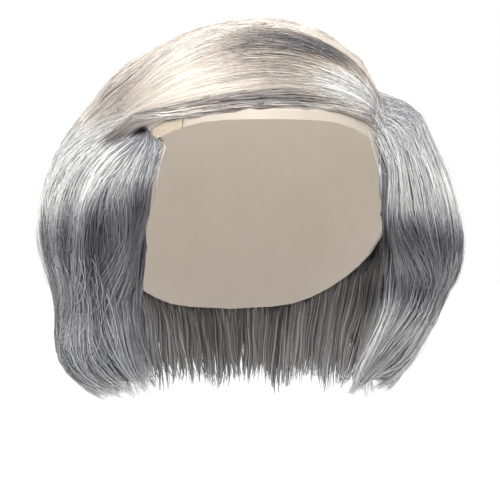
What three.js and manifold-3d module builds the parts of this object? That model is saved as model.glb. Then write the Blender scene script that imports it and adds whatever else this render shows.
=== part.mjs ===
// A grey character wig with a bald pate: a skin-coloured cloth cap, a pale band along its front edge,
// a net corner at the right temple, thin hair combed over from a part on the left, and full waved hair
// on both sides and the back.
// Millimetres, +Z up, -Y towards the face, +X towards the wearer's left.
// The origin is the inside of the cap's crown, where it sits on the top of the head.
import * as THREE from "three";
import { mergeVertices } from "three/addons/utils/BufferGeometryUtils.js";
import Module from "manifold-3d";

const wasm = await Module();
wasm.setup();

// The head that the wig is made for
const HEAD_HALF_BREADTH = 76;
const HEAD_HALF_LENGTH = 98;
const CROWN_TO_WIDEST = 88; // from the crown down to the head's widest level
const NAPE_SPAN = 120; // the same below that level, where the head draws in more slowly
const BROW_NARROWING = 0.05; // how much narrower the head is in front than behind
const HEAD_POWER = 2.4; // its upright section, a little squarer than an ellipse, which is 2

// The cloth
const CLOTH_WALL = 1.6;
const SEAM_GAP = 0.35; // clear space between neighbouring pieces
const CAP_COLUMNS = 48;
const CAP_RINGS = 8;
const COLUMN_TURN = 360 / CAP_COLUMNS; // the cloth in front keeps to the cap's columns
const NET_FROM = -4 * COLUMN_TURN; // azimuth where the net corner meets the band, in degrees
const NET_TO = -6 * COLUMN_TURN;
const BAND_TO = 6 * COLUMN_TURN;
const END_GAP = 0.35; // the same seam as an azimuth, in degrees

// The full hair
const BLOCK_RINGS = 14;
const HAIR_LIFT = 1; // its inner face above the cap, which leaves the seam's gap between flat facets
const ROOT_STAND = 2; // its outer face above the cap at the root line
const BACK_SEAM = 118; // azimuth where the side hair meets the back hair, in degrees
const FRONT_PINCH = 15; // how far the hair is drawn in at its front edge
const PINCH_SHARE = 0.3; // share of a side piece over which that fades
const ROOT_GUIDE_LEVEL = -50; // level at which a lock's azimuth picks its place on the root line

// The backing under the locks
const BACKING_COLUMNS = 12;
const BACKING_ROWS = 10;
const BACKING_INSET = 6; // its outer face under the hair's outline
const BACKING_DEPTH = 34; // its thickness at the fullest
const BACKING_EDGE_DEPTH = 6; // the same at the front edge
const BACKING_FULL_SHARE = 0.4; // share of a side piece over which it thickens
const BACKING_EDGE_SHARE = 0.03; // share of a side piece by which it stays behind the front lock
const BACKING_BELOW_ROOT = 2;
const BACKING_END = -189;
const LOW_END_SPAN = 60; // height over which it thins towards its lower end
const LOW_END_THINNING = 0.4; // thickness left there

// The locks and the combed strips
const LOCK_SIDES = 6;
const LOCK_STEPS = 8;
const LOCK_ROOT_SHARE = 0.12; // how far round its rounded profile a lock starts
const LOCK_ROUNDNESS = 0.3; // lower is blunter at the ends
const LOCK_TIP_LOSS = 0.2;
const LOCK_STAGGER = 1.2; // every second lock stands this much further out than its neighbours
const STRIP_STEPS = 11;
const STRIP_ROUNDNESS = 0.35;
const STRIP_LIFT = 0.95; // underside of a combed strip above the cap
const STRIP_DEPTH = 1.6;
const STRIP_LEAD = 0.07; // share of a strip's length by which it starts beyond the part
const PART_HALF_WIDTH = 3.2;
const PATH_STEP = 0.02; // share of a path that its direction is taken over

const MERGE_MM = 1e-3;
const DEGREE = Math.PI / 180;

// Lower edge of the cap and of the cloth in front of it, by azimuth from the face in degrees
const RIM = [
  { azimuth: 0, cap: -46.5, band: -52.4 },
  { azimuth: 20, cap: -47.2, band: -53.2 },
  { azimuth: 32, cap: -50.5, band: -57 },
  { azimuth: 45, cap: -56, band: -63.5 },
  { azimuth: 58, cap: -78, band: -70 },
  { azimuth: 75, cap: -103, band: -70 },
  { azimuth: 96, cap: -97, band: -70 },
  { azimuth: 125, cap: -124, band: -70 },
  { azimuth: 155, cap: -146, band: -70 },
  { azimuth: 180, cap: -150, band: -70 },
];

// Outline of the hair: half widths to the wearer's right and left, and reach in front and behind
const OUTLINE = [
  { level: 0, right: 36, left: 36, front: 60, back: 52 },
  { level: -9, right: 50, left: 47, front: 66, back: 66 },
  { level: -17, right: 68, left: 58, front: 72, back: 84 },
  { level: -26, right: 78, left: 70, front: 78, back: 95 },
  { level: -34, right: 83, left: 84, front: 82, back: 101 },
  { level: -41, right: 88, left: 89, front: 86, back: 106 },
  { level: -57, right: 97, left: 93.5, front: 90, back: 112 },
  { level: -73, right: 104.5, left: 101.5, front: 91, back: 116 },
  { level: -89, right: 110, left: 110, front: 91, back: 118 },
  { level: -105, right: 112, left: 112.5, front: 91, back: 118 },
  { level: -120, right: 110.5, left: 113, front: 90, back: 117 },
  { level: -134, right: 105.5, left: 110.5, front: 88, back: 113 },
  { level: -146, right: 103.5, left: 103.5, front: 86, back: 109 },
  { level: -160, right: 105.5, left: 95, front: 84, back: 108 },
  { level: -174, right: 101.5, left: 88, front: 80, back: 104 },
  { level: -184, right: 94.5, left: 83, front: 76, back: 98 },
  { level: -192, right: 85, left: 79, front: 71, back: 91 },
  { level: -199, right: 72, left: 72, front: 64, back: 80 },
];
const OUTLINE_POWER = 2.2;

// Azimuth of the hair's front edge, on the temple and cheek
const FRONT_EDGE = [
  { level: -50, azimuth: 38 },
  { level: -80, azimuth: 40 },
  { level: -112, azimuth: 44 },
  { level: -145, azimuth: 52 },
  { level: -200, azimuth: 63 },
];

// Where the full hair starts on the cap: the edge of the bald pate
const ROOT_LINE = [
  { azimuth: 40, right: -57, left: -56 },
  { azimuth: 52, right: -52, left: -44 },
  { azimuth: 66, right: -47, left: -38 },
  { azimuth: 80, right: -41, left: -35 },
  { azimuth: 98, right: -29, left: -30 },
  { azimuth: 118, right: -16, left: -23 },
  { azimuth: 150, right: -10, left: -14 },
  { azimuth: 180, right: -11, left: -11 },
];

// Two tiers of locks: the upper one bells out and tucks in, the lower one comes from under it.
// A lock runs inset under the outline over its upper part, and its tip tucks in again.
const INSET_FADE = { from: 0.3, to: 0.75 };
const TUCK_FROM = 0.8;
const TIERS = [
  {
    name: "upper",
    halfWidth: 12.5,
    halfDepth: 8,
    startBelowRoot: 4,
    tipLevel: -156,
    tipStagger: 7,
    inset: 0,
    tuck: 10,
    sweepDegrees: 7,
  },
  {
    name: "lower",
    halfWidth: 12,
    halfDepth: 7,
    startBelowRoot: 60,
    tipLevel: -196,
    tipStagger: 3,
    inset: 9,
    tuck: 2,
    sweepDegrees: -4,
  },
];

// Hair pieces, each a run of azimuth with its own number of locks to a tier
const HAIR_PIECES = [
  { name: "side_hair_right", from: -38, to: -BACK_SEAM, locks: 7, rise: 8 },
  { name: "side_hair_left", from: 38, to: BACK_SEAM, locks: 7, rise: 4 },
  { name: "back_hair", from: BACK_SEAM, to: 360 - BACK_SEAM, locks: 10, rise: 8 },
];

// Strips of the comb-over: from the part on the left to the edge of the pate on the right
const STRIPS = [
  { part: 42, partLevel: -48.5, end: -43, endLevel: -51, halfWidth: 4.4 },
  { part: 47, partLevel: -44, end: -54, endLevel: -47, halfWidth: 2.2 },
  { part: 53, partLevel: -39.5, end: -66, endLevel: -43, halfWidth: 3.8 },
  { part: 61, partLevel: -36, end: -78, endLevel: -38, halfWidth: 3.2 },
  { part: 71, partLevel: -33, end: -90, endLevel: -31, halfWidth: 5.0 },
  { part: 82, partLevel: -30.5, end: -102, endLevel: -23, halfWidth: 5.4 },
  { part: 94, partLevel: -27, end: -114, endLevel: -15.5, halfWidth: 5.6 },
  { part: 107, partLevel: -22.5, end: -128, endLevel: -10.5, halfWidth: 5.8 },
  { part: 121, partLevel: -17.5, end: -146, endLevel: -8, halfWidth: 6.0 },
  { part: 136, partLevel: -13, end: -165, endLevel: -7.5, halfWidth: 5.5 },
];

// The roll of hair that stands along the part, on the left piece only
const ROLL = { from: 43, to: 112, belowRoot: 12, standOff: 10, halfWidth: 11, halfDepth: 9 };

const clamp01 = (x) => Math.min(1, Math.max(0, x));
const mix = (a, b, share) => a + (b - a) * share;

function smoothStep(from, to, x) {
  const share = clamp01((x - from) / (to - from));
  return share * share * (3 - 2 * share);
}

// Value of a table's column at a key, on a smooth curve through its rows
function lookUp(rows, keyName, valueName, key) {
  const ascending = rows[0][keyName] < rows[rows.length - 1][keyName];
  const sorted = ascending ? rows : [...rows].reverse();
  const last = sorted.length - 1;
  const at = (i) => sorted[Math.min(last, Math.max(0, i))];
  let i = 0;
  while (i < last - 1 && key > sorted[i + 1][keyName]) i += 1;
  const span = at(i + 1)[keyName] - at(i)[keyName];
  const share = clamp01((key - at(i)[keyName]) / span);
  const slope = (j) =>
    (at(j + 1)[valueName] - at(j - 1)[valueName]) / (at(j + 1)[keyName] - at(j - 1)[keyName]);
  const [a, b] = [at(i)[valueName], at(i + 1)[valueName]];
  const [bendA, bendB] = [slope(i) * span, slope(i + 1) * span];
  const [s2, s3] = [share * share, share * share * share];
  return (
    (2 * s3 - 3 * s2 + 1) * a +
    (s3 - 2 * s2 + share) * bendA +
    (3 * s2 - 2 * s3) * b +
    (s3 - s2) * bendB
  );
}

// Azimuth from 0 to 180 degrees, on either side of the face
const turnFromFace = (azimuth) => Math.abs(((azimuth + 540) % 360) - 180);

// Radius of the head at its widest level
function widestRadius(azimuth, lift) {
  const a = azimuth * DEGREE;
  const halfBreadth = (HEAD_HALF_BREADTH + lift) * (1 - BROW_NARROWING * Math.cos(a));
  return 1 / Math.hypot(Math.sin(a) / halfBreadth, Math.cos(a) / (HEAD_HALF_LENGTH + lift));
}

const headHeight = (level) => (level > -CROWN_TO_WIDEST ? CROWN_TO_WIDEST : NAPE_SPAN);

// Share of the widest radius that the head has at a level
function girthShare(level, lift) {
  const drop = Math.abs(level + CROWN_TO_WIDEST) / (headHeight(level) + lift);
  return Math.max(0, 1 - drop ** HEAD_POWER) ** (1 / HEAD_POWER);
}

const headRadius = (azimuth, level, lift) => widestRadius(azimuth, lift) * girthShare(level, lift);

const headAtLevel = (azimuth, level, lift) =>
  polarPoint(azimuth, headRadius(azimuth, level, lift), level);

// Level reached by going a share of the way over the head, from the crown down to an edge
function levelOver(share, edge, lift) {
  const turnTo = (level) => {
    const height = headHeight(level) + lift;
    const drop = Math.min(1, Math.abs(level + CROWN_TO_WIDEST) / height) ** (HEAD_POWER / 2);
    return Math.acos(Math.sign(level + CROWN_TO_WIDEST) * drop);
  };
  const turn = share * turnTo(edge);
  const rise = Math.abs(Math.cos(turn)) ** (2 / HEAD_POWER);
  const height = turn < Math.PI / 2 ? CROWN_TO_WIDEST : -NAPE_SPAN;
  return -CROWN_TO_WIDEST + (height + Math.sign(height) * lift) * rise;
}

// Direction straight out from the head at a place on or over it
function headNormal(p) {
  const height = headHeight(p.z);
  const flat = Math.hypot(p.x, p.y, MERGE_MM);
  const widest = widestRadius(Math.atan2(p.x, -p.y) / DEGREE, 0);
  const out = (flat / widest) ** (HEAD_POWER - 1) / widest;
  const rise = (p.z + CROWN_TO_WIDEST) / height;
  const tilt = Math.sign(rise) * Math.abs(rise) ** (HEAD_POWER - 1) / height;
  const skew = (HEAD_HALF_BREADTH / HEAD_HALF_LENGTH) ** 2;
  const sideways = new THREE.Vector3(p.x, p.y * skew, 0).normalize();
  return sideways.multiplyScalar(out).setZ(tilt).normalize();
}

// Radius of the hair's outline at an azimuth and level
function outlineRadius(azimuth, level) {
  const a = azimuth * DEGREE;
  const half = lookUp(OUTLINE, "level", Math.sin(a) < 0 ? "right" : "left", level);
  const reach = lookUp(OUTLINE, "level", Math.cos(a) > 0 ? "front" : "back", level);
  const across = Math.abs(Math.sin(a) / half) ** OUTLINE_POWER;
  const along = Math.abs(Math.cos(a) / reach) ** OUTLINE_POWER;
  return (across + along) ** (-1 / OUTLINE_POWER);
}

function rootLevel(azimuth) {
  const side = Math.sin(azimuth * DEGREE) < 0 ? "right" : "left";
  return lookUp(ROOT_LINE, "azimuth", side, turnFromFace(azimuth));
}

function polarPoint(azimuth, radius, level) {
  const a = azimuth * DEGREE;
  return new THREE.Vector3(radius * Math.sin(a), -radius * Math.cos(a), level);
}

// Moves every vertex of a unit geometry to the place that a rule gives it
function shaped(geometry, rule) {
  const places = geometry.getAttribute("position");
  const unit = new THREE.Vector3();
  for (let i = 0; i < places.count; i += 1) {
    const place = rule(unit.fromBufferAttribute(places, i));
    places.setXYZ(i, place.x, place.y, place.z);
  }
  return geometry;
}

// A closed geometry as a solid that can be joined and cut
function solidOf(geometry) {
  const bare = new THREE.BufferGeometry();
  bare.setAttribute("position", geometry.getAttribute("position"));
  bare.setIndex(geometry.getIndex());
  const merged = mergeVertices(bare, MERGE_MM);
  const corners = merged.index.array;
  const kept = [];
  for (let i = 0; i < corners.length; i += 3) {
    const [a, b, c] = corners.slice(i, i + 3);
    if (a !== b && b !== c && c !== a) kept.push(a, b, c);
  }
  return new wasm.Manifold(
    new wasm.Mesh({
      numProp: 3,
      vertProperties: merged.attributes.position.array,
      triVerts: new Uint32Array(kept),
    }),
  );
}

const joined = (solids) => solids.reduce((whole, next) => whole.add(next));

function meshOf(solid, name, material) {
  const made = solid.getMesh();
  const geometry = new THREE.BufferGeometry();
  geometry.setAttribute("position", new THREE.BufferAttribute(made.vertProperties, made.numProp));
  geometry.setIndex(new THREE.BufferAttribute(made.triVerts, 1));
  geometry.computeVertexNormals();
  const mesh = new THREE.Mesh(geometry, material);
  mesh.name = name;
  return mesh;
}

// A dome over the head, from an inner to an outer lift, down to a lower edge given by azimuth
function dome(innerLift, outerLift, rings, columns, edgeAt) {
  const profile = [];
  for (let i = 0; i <= rings; i += 1) profile.push(new THREE.Vector2(i / rings, 0));
  for (let i = rings; i >= 0; i -= 1) profile.push(new THREE.Vector2(i / rings, 1));
  return shaped(new THREE.LatheGeometry(profile, columns), (unit) => {
    const azimuth = Math.atan2(unit.x, unit.z) / DEGREE;
    const share = Math.hypot(unit.x, unit.z);
    const lift = mix(innerLift, outerLift, unit.y);
    const edge = edgeAt(turnFromFace(azimuth));
    return headAtLevel(azimuth, levelOver(share, edge, lift), lift);
  });
}

function capSolid() {
  const edge = (turn) => lookUp(RIM, "azimuth", "cap", turn);
  return solidOf(dome(0, CLOTH_WALL, CAP_RINGS, CAP_COLUMNS, edge));
}

// The room that the head, the cap and the gap over it take up: a closed block
function headBlock() {
  const lift = CLOTH_WALL + HAIR_LIFT;
  const profile = [];
  for (let i = 0; i <= BLOCK_RINGS; i += 1) {
    const turn = (i / BLOCK_RINGS) * Math.PI;
    profile.push(new THREE.Vector2(Math.sin(turn), i / BLOCK_RINGS));
  }
  const bottom = -CROWN_TO_WIDEST - NAPE_SPAN - lift;
  const block = shaped(new THREE.LatheGeometry(profile, CAP_COLUMNS), (unit) => {
    const azimuth = Math.atan2(unit.x, unit.z) / DEGREE;
    return headAtLevel(azimuth, levelOver(1 - unit.y, bottom, lift), lift);
  });
  return solidOf(block);
}

// A strip of cloth along the cap's front edge, between two azimuths
function frontEdgeStrip(from, to) {
  const strip = new THREE.BoxGeometry(1, 1, 1, Math.round((to - from) / COLUMN_TURN), 1, 1);
  return shaped(strip, (unit) => {
    const azimuth = mix(from, to, unit.x + 0.5);
    const turn = turnFromFace(azimuth);
    const low = lookUp(RIM, "azimuth", "band", turn);
    const high = lookUp(RIM, "azimuth", "cap", turn) - SEAM_GAP;
    return headAtLevel(azimuth, mix(low, high, unit.y + 0.5), CLOTH_WALL * (unit.z + 0.5));
  });
}

// A tapered lock with a lens-shaped section, along a path given from 0 at its root to 1 at its tip
function lock(path, halfWidth, halfDepth, taper, steps = LOCK_STEPS, flatUnder = false) {
  return shaped(new THREE.SphereGeometry(1, LOCK_SIDES, steps), (unit) => {
    const order = Math.acos(clamp01((unit.y + 1) / 2) * 2 - 1) / Math.PI;
    const share = flatUnder ? order : Math.sin((order * Math.PI) / 2);
    const here = path(share);
    const ahead = path(clamp01(share + PATH_STEP));
    const along = ahead.sub(path(clamp01(share - PATH_STEP))).normalize();
    const outward = headNormal(here);
    const across = outward.clone().cross(along).normalize();
    outward.copy(along).cross(across).normalize();
    const ring = Math.hypot(unit.x, unit.z);
    const fullness = ring > MERGE_MM ? taper(share) : 0;
    const [c, s] = ring > MERGE_MM ? [unit.x / ring, unit.z / ring] : [0, 0];
    const rise = flatUnder ? Math.max(0, s) : s;
    return here
      .clone()
      .addScaledVector(across, c * halfWidth * fullness)
      .addScaledVector(outward, rise * halfDepth * fullness);
  });
}

function hairTaper(share) {
  const turn = Math.PI * mix(LOCK_ROOT_SHARE, 1, share);
  return Math.sin(turn) ** LOCK_ROUNDNESS * (1 - LOCK_TIP_LOSS * share);
}

const stripTaper = (share) => Math.sin(Math.PI * share) ** STRIP_ROUNDNESS;

// Inset of the hair at its front edge, by the share of the way from that edge to the back seam
const frontPinch = (piece, share) =>
  piece.name === "back_hair" ? 0 : FRONT_PINCH * (1 - smoothStep(0, PINCH_SHARE, share));

// Azimuth within a piece: its front edge follows the temple and cheek, its seam stays where it is
function pieceAzimuth(piece, share, level) {
  if (piece.name === "back_hair") return mix(piece.from, piece.to, share);
  const edge = Math.sign(piece.from) * lookUp(FRONT_EDGE, "level", "azimuth", level);
  return mix(edge, piece.to, share);
}

// Radius of the hair at a place, risen from the cap over the first stretch below its root
function hairRadius(piece, azimuth, level, inset) {
  const onHead = headRadius(azimuth, level, CLOTH_WALL + ROOT_STAND);
  const risen = smoothStep(0, piece.rise, rootLevel(azimuth) - level);
  return Math.max(onHead, mix(onHead, outlineRadius(azimuth, level) - inset, risen));
}

function lockPath(piece, tier, share, index) {
  const stagger = index % 2 === 0 ? 1 : -1;
  const root = rootLevel(pieceAzimuth(piece, share, ROOT_GUIDE_LEVEL)) - tier.startBelowRoot;
  const tip = tier.tipLevel + stagger * tier.tipStagger;
  const sweep = piece.name === "back_hair" ? 0 : Math.sign(piece.to) * tier.sweepDegrees;
  const freedom = 1 - Math.abs(2 * share - 1);
  return (t) => {
    const level = mix(root, tip, t);
    const azimuth = pieceAzimuth(piece, share, level) + sweep * freedom * Math.sin(Math.PI * t);
    const under = tier.inset * (1 - smoothStep(INSET_FADE.from, INSET_FADE.to, t));
    const tucked = tier.tuck * smoothStep(TUCK_FROM, 1, t);
    const inset = tier.halfDepth + under + tucked + frontPinch(piece, share) + LOCK_STAGGER * stagger;
    return polarPoint(azimuth, hairRadius(piece, azimuth, level, inset), level);
  };
}

// The mass under the locks, from the root line down, that carries them
function hairBacking(piece) {
  const slab = new THREE.BoxGeometry(1, 1, 1, BACKING_COLUMNS, BACKING_ROWS, 1);
  return shaped(slab, (unit) => {
    const share = piece.to > piece.from ? unit.x + 0.5 : 0.5 - unit.x;
    const top = rootLevel(pieceAzimuth(piece, share, ROOT_GUIDE_LEVEL)) - BACKING_BELOW_ROOT;
    const level = mix(BACKING_END, top, unit.y + 0.5);
    const azimuth = pieceAzimuth(piece, mix(BACKING_EDGE_SHARE, 1, share), level);
    const outer = hairRadius(piece, azimuth, level, BACKING_INSET + frontPinch(piece, share));
    const fullness = piece.name === "back_hair" ? 1 : smoothStep(0, BACKING_FULL_SHARE, share);
    const lowness = smoothStep(BACKING_END, BACKING_END + LOW_END_SPAN, level);
    const deep = mix(BACKING_EDGE_DEPTH, BACKING_DEPTH, fullness) * mix(LOW_END_THINNING, 1, lowness);
    const inner = Math.max(headRadius(azimuth, level, 0), outer - deep);
    return polarPoint(azimuth, mix(Math.min(inner, outer - 1), outer, unit.z + 0.5), level);
  });
}

// Keeps the part of a piece on its own side of the two seams with the back hair
function cutAtSeams(solid, piece) {
  const seam = (azimuth, keepAfter) => {
    const a = azimuth * DEGREE;
    const sign = keepAfter ? 1 : -1;
    return [sign * Math.cos(a), sign * Math.sin(a), 0];
  };
  const half = SEAM_GAP / 2;
  if (piece.name === "back_hair") {
    const front = solid.trimByPlane(seam(BACK_SEAM, true), half);
    return front.trimByPlane(seam(360 - BACK_SEAM, false), half);
  }
  return solid.trimByPlane(seam(piece.to, piece.to < 0), half);
}

// The roll along the part, a lock laid on its side
function partRoll() {
  const path = (t) => {
    const azimuth = mix(ROLL.from, ROLL.to, t);
    const level = rootLevel(azimuth) - ROLL.belowRoot;
    return headAtLevel(azimuth, level, CLOTH_WALL + ROLL.standOff);
  };
  return lock(path, ROLL.halfWidth, ROLL.halfDepth, stripTaper);
}

function hairSolid(piece, block, combRoom) {
  const solids = [solidOf(hairBacking(piece))];
  for (const tier of TIERS) {
    for (let i = 0; i < piece.locks; i += 1) {
      const share = (i + 0.5) / piece.locks;
      const path = lockPath(piece, tier, share, i);
      solids.push(solidOf(lock(path, tier.halfWidth, tier.halfDepth, hairTaper)));
    }
  }
  if (piece.name === "side_hair_left") solids.push(solidOf(partRoll()));
  return cutAtSeams(joined(solids).subtract(block).subtract(combRoom), piece);
}

// A path over the head from one place on it to another, the straight line between them pushed out onto it
function overHead(start, end, lift) {
  return (t) => {
    const p = new THREE.Vector3().lerpVectors(start, end, mix(-STRIP_LEAD, 1, t));
    const azimuth = Math.atan2(p.x, -p.y) / DEGREE;
    const flat = Math.hypot(p.x, p.y) / widestRadius(azimuth, 0);
    const rise = (p.z + CROWN_TO_WIDEST) / CROWN_TO_WIDEST;
    const push = (flat ** HEAD_POWER + rise ** HEAD_POWER) ** (-1 / HEAD_POWER);
    const level = -CROWN_TO_WIDEST + (CROWN_TO_WIDEST + lift) * rise * push;
    return headAtLevel(azimuth, level, lift);
  };
}

// The line of the part, through the roots of the combed strips
function partPath(lift) {
  const rows = STRIPS.map((row, i) => ({ ...row, order: i / (STRIPS.length - 1) }));
  return (t) =>
    headAtLevel(lookUp(rows, "order", "part", t), lookUp(rows, "order", "partLevel", t), lift);
}

// The combed strips and the bed of roots that joins them along the part, with room left round them
function combOver(room) {
  const lift = CLOTH_WALL + STRIP_LIFT - room;
  const strip = (path, halfWidth) =>
    solidOf(lock(path, halfWidth + room, STRIP_DEPTH + 2 * room, stripTaper, STRIP_STEPS, true));
  const strips = STRIPS.map((row) => {
    const start = headAtLevel(row.part, row.partLevel, 0);
    const end = headAtLevel(row.end, row.endLevel, 0);
    return strip(overHead(start, end, lift), row.halfWidth);
  });
  return joined([...strips, strip(partPath(lift), PART_HALF_WIDTH)]);
}

const hairMaterial = new THREE.MeshStandardMaterial({ color: 0x8e8f92, roughness: 0.5, metalness: 0 });
const thinHairMaterial = new THREE.MeshStandardMaterial({ color: 0xa69c93, roughness: 0.5, metalness: 0 });
const clothMaterial = new THREE.MeshStandardMaterial({ color: 0xf0e2d0, roughness: 0.8, metalness: 0 });
const bandMaterial = new THREE.MeshStandardMaterial({ color: 0xeee2cd, roughness: 0.75, metalness: 0 });
const netMaterial = new THREE.MeshStandardMaterial({ color: 0xd6c6aa, roughness: 0.85, metalness: 0 });

const wig = new THREE.Group();
const block = headBlock();
const combRoom = combOver(SEAM_GAP);
const hair = HAIR_PIECES.map((piece) => hairSolid(piece, block, combRoom));
wig.add(meshOf(capSolid(), "cap", clothMaterial));
wig.add(meshOf(solidOf(frontEdgeStrip(NET_FROM + END_GAP, BAND_TO)), "forehead_band", bandMaterial));
wig.add(meshOf(solidOf(frontEdgeStrip(NET_TO, NET_FROM)), "net_corner", netMaterial));
wig.add(meshOf(combOver(0), "comb_over", thinHairMaterial));
HAIR_PIECES.forEach((piece, i) => wig.add(meshOf(hair[i], piece.name, hairMaterial)));

export default wig;
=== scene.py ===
"""Grey wig with a bald cloth pate: strands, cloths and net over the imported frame, in a pale studio."""

import bpy
import math
import numpy as np
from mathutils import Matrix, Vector
from mathutils.bvhtree import BVHTree


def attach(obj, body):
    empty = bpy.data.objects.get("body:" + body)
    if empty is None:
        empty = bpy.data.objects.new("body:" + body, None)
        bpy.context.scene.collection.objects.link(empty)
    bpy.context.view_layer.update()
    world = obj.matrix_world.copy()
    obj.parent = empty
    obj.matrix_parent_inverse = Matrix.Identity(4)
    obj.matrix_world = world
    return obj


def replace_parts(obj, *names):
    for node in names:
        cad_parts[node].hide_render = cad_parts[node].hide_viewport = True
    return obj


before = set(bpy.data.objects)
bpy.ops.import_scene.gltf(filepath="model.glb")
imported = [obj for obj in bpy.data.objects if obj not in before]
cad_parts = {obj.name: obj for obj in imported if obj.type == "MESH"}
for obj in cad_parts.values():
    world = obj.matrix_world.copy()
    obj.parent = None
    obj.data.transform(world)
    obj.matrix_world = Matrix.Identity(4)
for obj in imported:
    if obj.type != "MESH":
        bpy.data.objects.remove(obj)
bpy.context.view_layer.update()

# Lengths below are millimetres and angles are degrees; MM turns a length into the scene's metres.
# An azimuth counts from the front, positive towards the left side as worn.
# A level is a height, zero at the crown.
MM = 0.001
WIG_CENTRE = np.array([0.0, 0.0, -88.0])
HAIR_NODES = ("side_hair_right", "side_hair_left", "back_hair")
HAND = {"right": -1.0, "left": 1.0}

random = np.random.default_rng(41)


# Small sums that many pieces share


def smooth_step(low, high, x):
    share = np.clip((x - low) / (high - low), 0.0, 1.0)
    return share * share * (3.0 - 2.0 * share)


def table(names, *rows):
    """Rows of a table, each with its columns by name."""
    return [dict(zip(names, row)) for row in rows]


def column(rows, key, value, x):
    """Value of a table's column at a key, straight between rows."""
    return np.interp(x, [row[key] for row in rows], [row[value] for row in rows])


def unit(vectors):
    return vectors / np.maximum(np.linalg.norm(vectors, axis=-1, keepdims=True), 1e-9)


def polar_point(azimuth, radius, level):
    turn = np.radians(azimuth)
    return np.stack([radius * np.sin(turn), -radius * np.cos(turn), level + 0.0 * turn], axis=-1)


# The frame's outer form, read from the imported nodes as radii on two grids

AZIMUTH_STEP = 2.0
LEVEL_STEP = 2.0
POLAR_STEP = 2.0
AZIMUTHS = np.arange(-180.0, 180.0, AZIMUTH_STEP)
LEVELS = np.arange(-206.0, 8.0, LEVEL_STEP)
POLARS = np.arange(0.0, 158.0, POLAR_STEP)
FAR = 260.0
LEAST_RADIUS = 30.0
FILL_SPREAD = 2.0
FILL_WIDENING = 1.6


def surface_tree(names):
    corners = []
    faces = []
    for name in names:
        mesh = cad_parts[name].data
        start = len(corners)
        corners += [v.co / MM for v in mesh.vertices]
        faces += [[start + i for i in p.vertices] for p in mesh.polygons]
    return BVHTree.FromPolygons(corners, faces)


def radius_along(tree, centre, direction):
    hit = tree.ray_cast(Vector(centre + FAR * direction), Vector(-direction))
    if hit[0] is None or FAR - hit[3] < LEAST_RADIUS:
        return np.nan
    return FAR - hit[3]


def level_map(tree):
    """Radius of the outermost surface by azimuth and level, nan where there is none."""
    rows = []
    for azimuth in AZIMUTHS:
        outward = polar_point(azimuth, 1.0, 0.0)
        rows.append([radius_along(tree, np.array([0.0, 0.0, level]), outward) for level in LEVELS])
    return np.array(rows)


def inner_map(tree):
    """Radius of the innermost surface by azimuth and level, nan where there is none."""
    rows = []
    for azimuth in AZIMUTHS:
        outward = Vector(polar_point(azimuth, 1.0, 0.0))
        hits = [tree.ray_cast(Vector((0.0, 0.0, level)), outward) for level in LEVELS]
        rows.append([np.nan if hit[0] is None else hit[3] for hit in hits])
    return np.array(rows)


def dome_map(tree):
    """Distance of the outermost surface from the wig's centre by azimuth and angle from the crown."""
    rows = []
    for azimuth in AZIMUTHS:
        outward = polar_point(azimuth, 1.0, 0.0)
        row = []
        for polar in np.radians(POLARS):
            direction = outward * math.sin(polar) + np.array([0.0, 0.0, math.cos(polar)])
            row.append(radius_along(tree, WIG_CENTRE, direction))
        rows.append(row)
    return np.array(rows)


def blurred(grid, azimuth_spread, other_spread):
    """Gaussian blur in cells that skips nan and fills it from its neighbours; the azimuth goes round."""
    known = np.isfinite(grid).astype(float)
    value = np.where(known > 0, grid, 0.0)
    for axis, spread in ((0, azimuth_spread), (1, other_spread)):
        reach = int(3 * spread) + 1
        offsets = np.arange(-reach, reach + 1)
        weights = np.exp(-0.5 * (offsets / spread) ** 2)
        total_value = np.zeros_like(value)
        total_known = np.zeros_like(known)
        for offset, weight in zip(offsets, weights / weights.sum()):
            places = np.arange(grid.shape[axis]) + offset
            places = places % grid.shape[0] if axis == 0 else np.clip(places, 0, grid.shape[1] - 1)
            total_value += weight * np.take(value, places, axis=axis)
            total_known += weight * np.take(known, places, axis=axis)
        value = total_value
        known = total_known
    return np.where(known > 1e-6, value / np.maximum(known, 1e-9), np.nan)


def filled(grid):
    """The grid with its nan cells taken from wider and wider blurs."""
    result = grid.copy()
    spread = FILL_SPREAD
    while np.isnan(result).any():
        result = np.where(np.isnan(result), blurred(result, spread, spread), result)
        spread *= FILL_WIDENING
    return result


def sampled(grid, azimuth, other, other_start, other_step):
    """Grid value between its cells."""
    x = np.mod((azimuth + 180.0) / AZIMUTH_STEP, len(AZIMUTHS))
    y = np.clip((other - other_start) / other_step, 0.0, grid.shape[1] - 1.001)
    i = np.floor(x).astype(int) % len(AZIMUTHS)
    j = np.floor(y).astype(int)
    fx = x - np.floor(x)
    fy = y - j
    k = (i + 1) % len(AZIMUTHS)
    low = grid[i, j] * (1 - fx) + grid[k, j] * fx
    high = grid[i, j + 1] * (1 - fx) + grid[k, j + 1] * fx
    return low * (1 - fy) + high * fy


HAIR_BLUR = 2.0
CAP_BLUR = 1.0
DOME_BLUR = 1.5
COMB_BLUR = 3.0
FOOT_BLUR = (1.2, 1.0)
CLOTH_NODES = ("cap", "forehead_band", "net_corner")

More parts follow.
